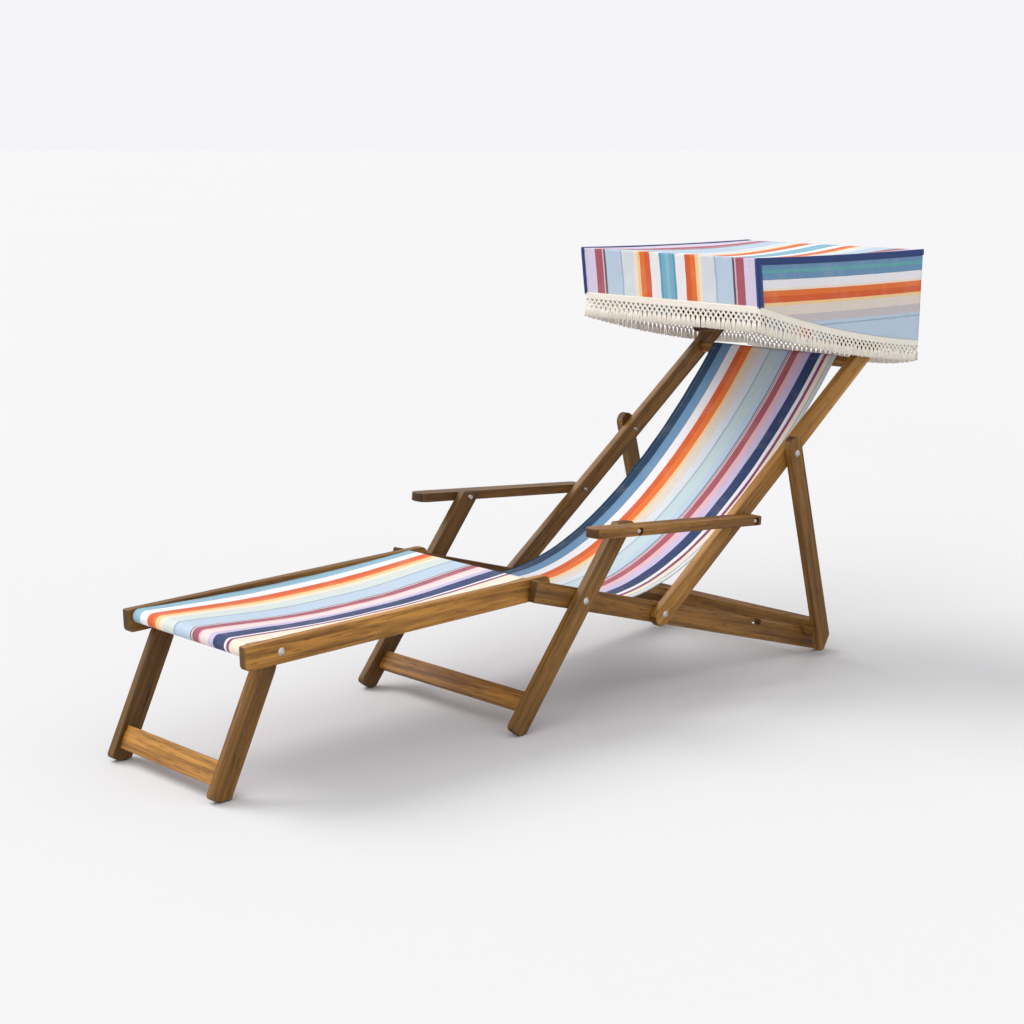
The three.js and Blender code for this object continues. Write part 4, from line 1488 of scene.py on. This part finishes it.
    def round_hem(self, count: int) -> list[HemStep]:
        """Walk once round the hem: the front, back on the left, the rear and forward on the right.

        Args:
            count: How many steps the whole walk has.

        Returns:
            The steps.
        """
        front, _, _, rear = self.corners()
        inset = self.fringe_inset
        side_run = rear[0] - front[0]
        width = 2 * self.half
        total = 2 * (side_run + width)
        across, ahead = Vector((1, 0, 0)), Vector((0, 1, 0))
        found = []
        for i in range(count):
            run = total * i / count
            if run < width:
                where = Vector((-self.half + run, front[0] + inset, front[1]))
                step = HemStep(where, across, -ahead, self.front_fringe)
            elif run < width + side_run:
                share = (run - width) / side_run
                step = HemStep(
                    Vector((self.half - inset, *self.hem(share))), ahead, across, self.depth_at(share)
                )
            elif run < 2 * width + side_run:
                x = self.half - (run - width - side_run)
                hang = rear[1] - self.rear_hem_sag * self.middle_share(x)
                step = HemStep(Vector((x, rear[0] - inset, hang)), -across, ahead, self.rear_fringe)
            else:
                share = 1 - (run - 2 * width - side_run) / side_run
                step = HemStep(
                    Vector((inset - self.half, *self.hem(share))), -ahead, -across, self.depth_at(share)
                )
            found.append(step)
        return found

    def depth_at(self, share: float) -> float:
        """Return the fringe's depth at a share of the way from front to rear."""
        return self.front_fringe + share * (self.rear_fringe - self.front_fringe)

    def inside_hem(self, where: Vector) -> Vector:
        """Hold a point of the fringe inside the corners of the hem.

        Args:
            where: The point.

        Returns:
            The point, moved in where it stood out.
        """
        front, _, _, rear = self.corners()
        spare = 0.001
        edge = self.half + spare
        return Vector((
            min(max(where.x, -edge), edge), min(max(where.y, front[0] - spare), rear[0] + spare), where.z
        ))

    def net_point(self, walk: Sequence[HemStep], step: int, level: float) -> Vector:
        """Return a point of the fringe's net, which sways a little the lower it hangs.

        Args:
            walk: The walk round the hem.
            step: Which step of it.
            level: How far down, as a share of the fringe's depth.

        Returns:
            The point.
        """
        at = walk[step % len(walk)]
        slow, quick = self.net_sway
        sway = level * (slow * math.sin(step * 0.31) + quick * math.sin(step * 0.83 + 1))
        return at.where + DOWN * at.depth * level + at.outward * sway

    def _net(self, band: Surface, walk: Sequence[HemStep], step: int) -> None:
        """Knot one repeat of the net, each knot joined by crossing cords to the two knots below it.

        Args:
            band: The fringe.
            walk: The walk round the hem.
            step: Where the repeat hangs.
        """
        for row, level in enumerate(self.net_levels):
            base = step + row % 2
            at = walk[base % len(walk)]
            knot = self.net_point(walk, base, level)
            band.knot(knot, at.outward, at.along, Vector(self.knot_size))
            if row + 1 == len(self.net_levels):
                break
            for turn in (1, -1):
                end = self.net_point(walk, base + turn, self.net_levels[row + 1])
                for strand in (-1, 0, 1):
                    aside = at.along * strand * self.cord_pitch + at.outward * (self.cord_cross * turn)
                    path = [knot + aside * 0.8, (knot + end) / 2 + aside, end + aside * 0.8]
                    band.tube(path, self.cord_radius, self.cord_sides)

    def _tails(self, band: Surface, walk: Sequence[HemStep], step: int, draw: random.Random) -> None:
        """Hang the short tails of one repeat from its lowest knot.

        Args:
            band: The fringe.
            walk: The walk round the hem.
            step: Where the repeat hangs.
            draw: Where their small differences come from.
        """
        base = step + (len(self.net_levels) - 1) % 2
        at = walk[base % len(walk)]
        top = self.net_point(walk, base, self.net_levels[-1])
        half_count = (self.tail_strands - 1) / 2
        for strand in range(self.tail_strands):
            spread = (strand - half_count) * self.tail_pitch + draw.uniform(-self.tail_stray, self.tail_stray)
            length = at.depth * (1 - self.net_levels[-1]) * draw.uniform(*self.tail_lengths)
            lean = at.outward * draw.uniform(-self.tail_lean, self.tail_lean)
            path = (
                top + at.along * spread * 0.55,
                top + at.along * spread * 0.95 + DOWN * length * 0.4 + lean,
                top + at.along * spread + DOWN * length + lean * 0.5,
            )
            band.tube([self.inside_hem(p) for p in path], self.cord_radius, self.cord_sides, 1.1)

    def fringe(self) -> Object:
        """Make the fringe: a close heading, rows of knots joined by crossing cords, and short tails.

        Returns:
            The finished object.
        """
        band = Surface("canopy_fringe_cords")
        walk = self.round_hem(2 * self.repeats)
        draw = random.Random(23)
        self._heading(band)
        for step in range(0, 2 * self.repeats, 2):
            self._net(band, walk, step)
            self._tails(band, walk, step, draw)
        finish = TapeFinish(
            "cotton_cord", dye=CORD, twist_shade_and_wear=(218, 206, 184), twist=(900, 900, 500), depth=0.0006
        )
        obj = band.build([finish.build(self.effects)])
        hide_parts("canopy_fringe")
        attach(obj, "canopy")
        LOG.info("knotted %d repeats of fringe, %d faces", self.repeats, len(obj.data.polygons))
        return obj

    def _heading(self, band: Surface) -> None:
        """Add the close, ribbed heading that is sewn over the hem.

        Args:
            band: The fringe.
        """
        rows = []
        for i, at in enumerate(self.round_hem(8 * self.repeats)):
            rib = self.heading_rib * (1 if i % 2 else -1)
            drop = at.depth * self.heading_share
            rows.append([
                band.point(at.where + at.outward * (out + way * rib) + DOWN * (drop * share - up))
                for out, way, share, up in self.heading_section
            ])
        rows.append(rows[0])
        band.grid(rows, closed=True, flip=True)

    def build(self) -> None:
        """Make every piece of the canopy."""
        cover = self.cover()
        tapes = [self.binding(side) for side in Side]
        fringe = self.fringe()


@dataclass(frozen=True)
class Lamp:
    """A lamp that lights the whole floor evenly from one direction.

    Its spread is how wide it looks, in degrees, which softens its shadows. Its strength is in watts per
    square metre.
    """

    name: str
    source: Triple
    spread: float
    strength: float
    colour: Triple

    def hang(self) -> None:
        """Hang the lamp."""
        data = bpy.data.lights.new(self.name, "SUN")
        data.angle = math.radians(self.spread)
        data.energy = self.strength
        data.color = self.colour
        obj = bpy.data.objects.new(self.name, data)
        obj.rotation_euler = Vector(self.source).to_track_quat("Z", "Y").to_euler()
        bpy.context.scene.collection.objects.link(obj)


LAMPS = (
    Lamp("key", (-0.92, -0.18, 0.95), 36, 1.75, (1.0, 0.99, 0.97)),
    Lamp("front", (-0.35, -1.5, 1.0), 80, 1.05, (1.0, 0.99, 0.97)),
    Lamp("fill", (1.2, -0.4, 0.7), 110, 0.65, (1.0, 0.99, 0.98)),
)


@dataclass
class Studio:
    """A pale floor, soft lamps and the camera of the photograph's view.

    The camera was fitted with the pivot of the front legs at y 0. The shift is that pivot's own y.
    """

    shift: float
    eye: Triple = (3.4654, -3.1770, 1.3589)
    azimuth: float = 47.249
    elevation: float = 10.949
    lens: float = 70.77
    reach: float = 300.0
    floor_low: Tone = (0.68, 0.68, 0.692, 1)
    floor_high: Tone = (0.695, 0.695, 0.707, 1)
    room_low: Tone = (0.545, 0.55, 0.56, 1)
    room_high: Tone = (0.695, 0.695, 0.705, 1)
    backdrop: Tone = (0.913, 0.913, 0.93, 1)

    def build(self) -> None:
        """Set up the whole studio."""
        self.camera()
        self.floor()
        for lamp in LAMPS:
            lamp.hang()
        self.room()
        bpy.context.scene.view_settings.view_transform = "Standard"
        LOG.info("set up the studio")

    def camera(self) -> None:
        """Place the camera."""
        data = bpy.data.cameras.new("camera")
        data.lens = self.lens
        data.sensor_width = 36
        data.clip_end = 100
        data.dof.use_dof = False
        camera = bpy.data.objects.new("camera", data)
        camera.location = (self.eye[0], self.eye[1] + self.shift, self.eye[2])
        azimuth, elevation = math.radians(self.azimuth), math.radians(self.elevation)
        ahead = Vector((
            -math.sin(azimuth) * math.cos(elevation),
            math.cos(azimuth) * math.cos(elevation),
            -math.sin(elevation),
        ))
        camera.rotation_euler = ahead.to_track_quat("-Z", "Y").to_euler()
        bpy.context.scene.collection.objects.link(camera)
        bpy.context.scene.camera = camera

    def floor(self) -> None:
        """Lay the floor."""
        ground = Surface("studio_floor")
        rows = [
            [ground.point(Vector((x, y, 0.0))) for x in (-self.reach, self.reach)]
            for y in (-self.reach, self.reach)
        ]
        ground.grid(rows)
        material, nodes, shader = Finish("pale_floor").start()
        place = nodes.add("ShaderNodeTexCoord")
        cloud = nodes.noise(place.outputs["Object"], (0.4, 0.4, 0.4), 2.0)
        tone = nodes.blend(cloud, self.floor_low, self.floor_high)
        nodes.fill(shader, Base_Color=tone, Roughness=0.8, Specular_IOR_Level=0.1)
        ground.build([material], smooth=False)

    def room(self) -> None:
        """Light the room, brighter above than below, and show an even backdrop."""
        world = bpy.data.worlds.new("studio_room")
        world.use_nodes = True
        bpy.context.scene.world = world
        nodes = NodeTree(world.node_tree)
        backdrop = next(n for n in world.node_tree.nodes if n.type == "BACKGROUND")
        path = nodes.add("ShaderNodeLightPath")
        mirrored = nodes.math("MAXIMUM", path.outputs["Is Glossy Ray"], path.outputs["Is Transmission Ray"])
        seen = nodes.math("MAXIMUM", path.outputs["Is Camera Ray"], mirrored)
        where = nodes.add("ShaderNodeSeparateXYZ")
        nodes.join(nodes.add("ShaderNodeTexCoord").outputs["Generated"], where.inputs[0])
        height = nodes.stretch(where.outputs[2], 0.05, 0.9, 0.0, 1.0)
        light = nodes.blend(height, self.room_low, self.room_high)
        nodes.fill(backdrop, Color=nodes.blend(seen, light, self.backdrop), Strength=1.0)


@dataclass
class DeckChair:
    """The whole chair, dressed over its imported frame."""

    frame: dict[str, object]
    effects: Effects
    seat_leave: float = math.radians(-34)
    seat_arrive: float = math.radians(50.7)
    footrest_sag: float = 0.011

    def pivot(self, joint: str) -> Point:
        """Return a joint's place in the side plane."""
        found = next(j for j in self.frame["joints"] if j["name"] == joint)
        return (found["pos_m"][1], found["pos_m"][2])

    def build(self) -> None:
        """Dress the frame and make every soft piece."""
        nodes = self.frame["nodes"]
        Timber(self.effects).dress(nodes)
        Fittings(self.effects).dress(nodes)
        self.seat_sling()
        self.footrest_sling()
        Canopy(self.effects, pivot=self.pivot("canopy_tilt")).build()

    def seat_sling(self) -> None:
        """Make the seat's sling."""
        bars = ("seat_front_bar", "back_top_bar")
        front, top = (middle_of(bar) for bar in bars)
        sling = Sling(
            self.effects,
            "seat_sling_cloth",
            "seat_sling",
            bars,
            start=front,
            end=top,
            leave=self.seat_leave,
            arrive=self.seat_arrive,
            start_handle=0.521,
            end_handle=0.201,
            stripes=SEAT_STRIPES,
            half_width=0.212,
        )
        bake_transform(sling.build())

    def footrest_sling(self) -> None:
        """Make the footrest's sling, which sags by the same depth along it and across it."""
        bars = ("footrest_front_bar", "footrest_rear_bar")
        front, rear = (middle_of(bar) for bar in bars)
        span = rear[0] - front[0]
        tilt = math.atan2(rear[1] - front[1], span)
        drop = math.atan(4 * self.footrest_sag / span)
        sling = Sling(
            self.effects,
            "footrest_sling_cloth",
            "footrest_sling",
            bars,
            start=front,
            end=rear,
            leave=tilt - drop,
            arrive=tilt + drop,
            start_handle=span / 3,
            end_handle=span / 3,
            stripes=FOOTREST_STRIPES,
            dip=self.footrest_sag,
            slack_run=0.30,
        )
        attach(sling.build(), "footrest")


def main() -> None:
    """Load the frame, dress it and set up the studio."""
    logging.basicConfig(level=logging.INFO, format="%(message)s")
    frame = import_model()
    chair = DeckChair(frame, Effects())
    Studio(shift=chair.pivot("front_leg_pivot")[0]).build()
    chair.build()
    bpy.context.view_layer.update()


if __name__ == "__main__":
    main()
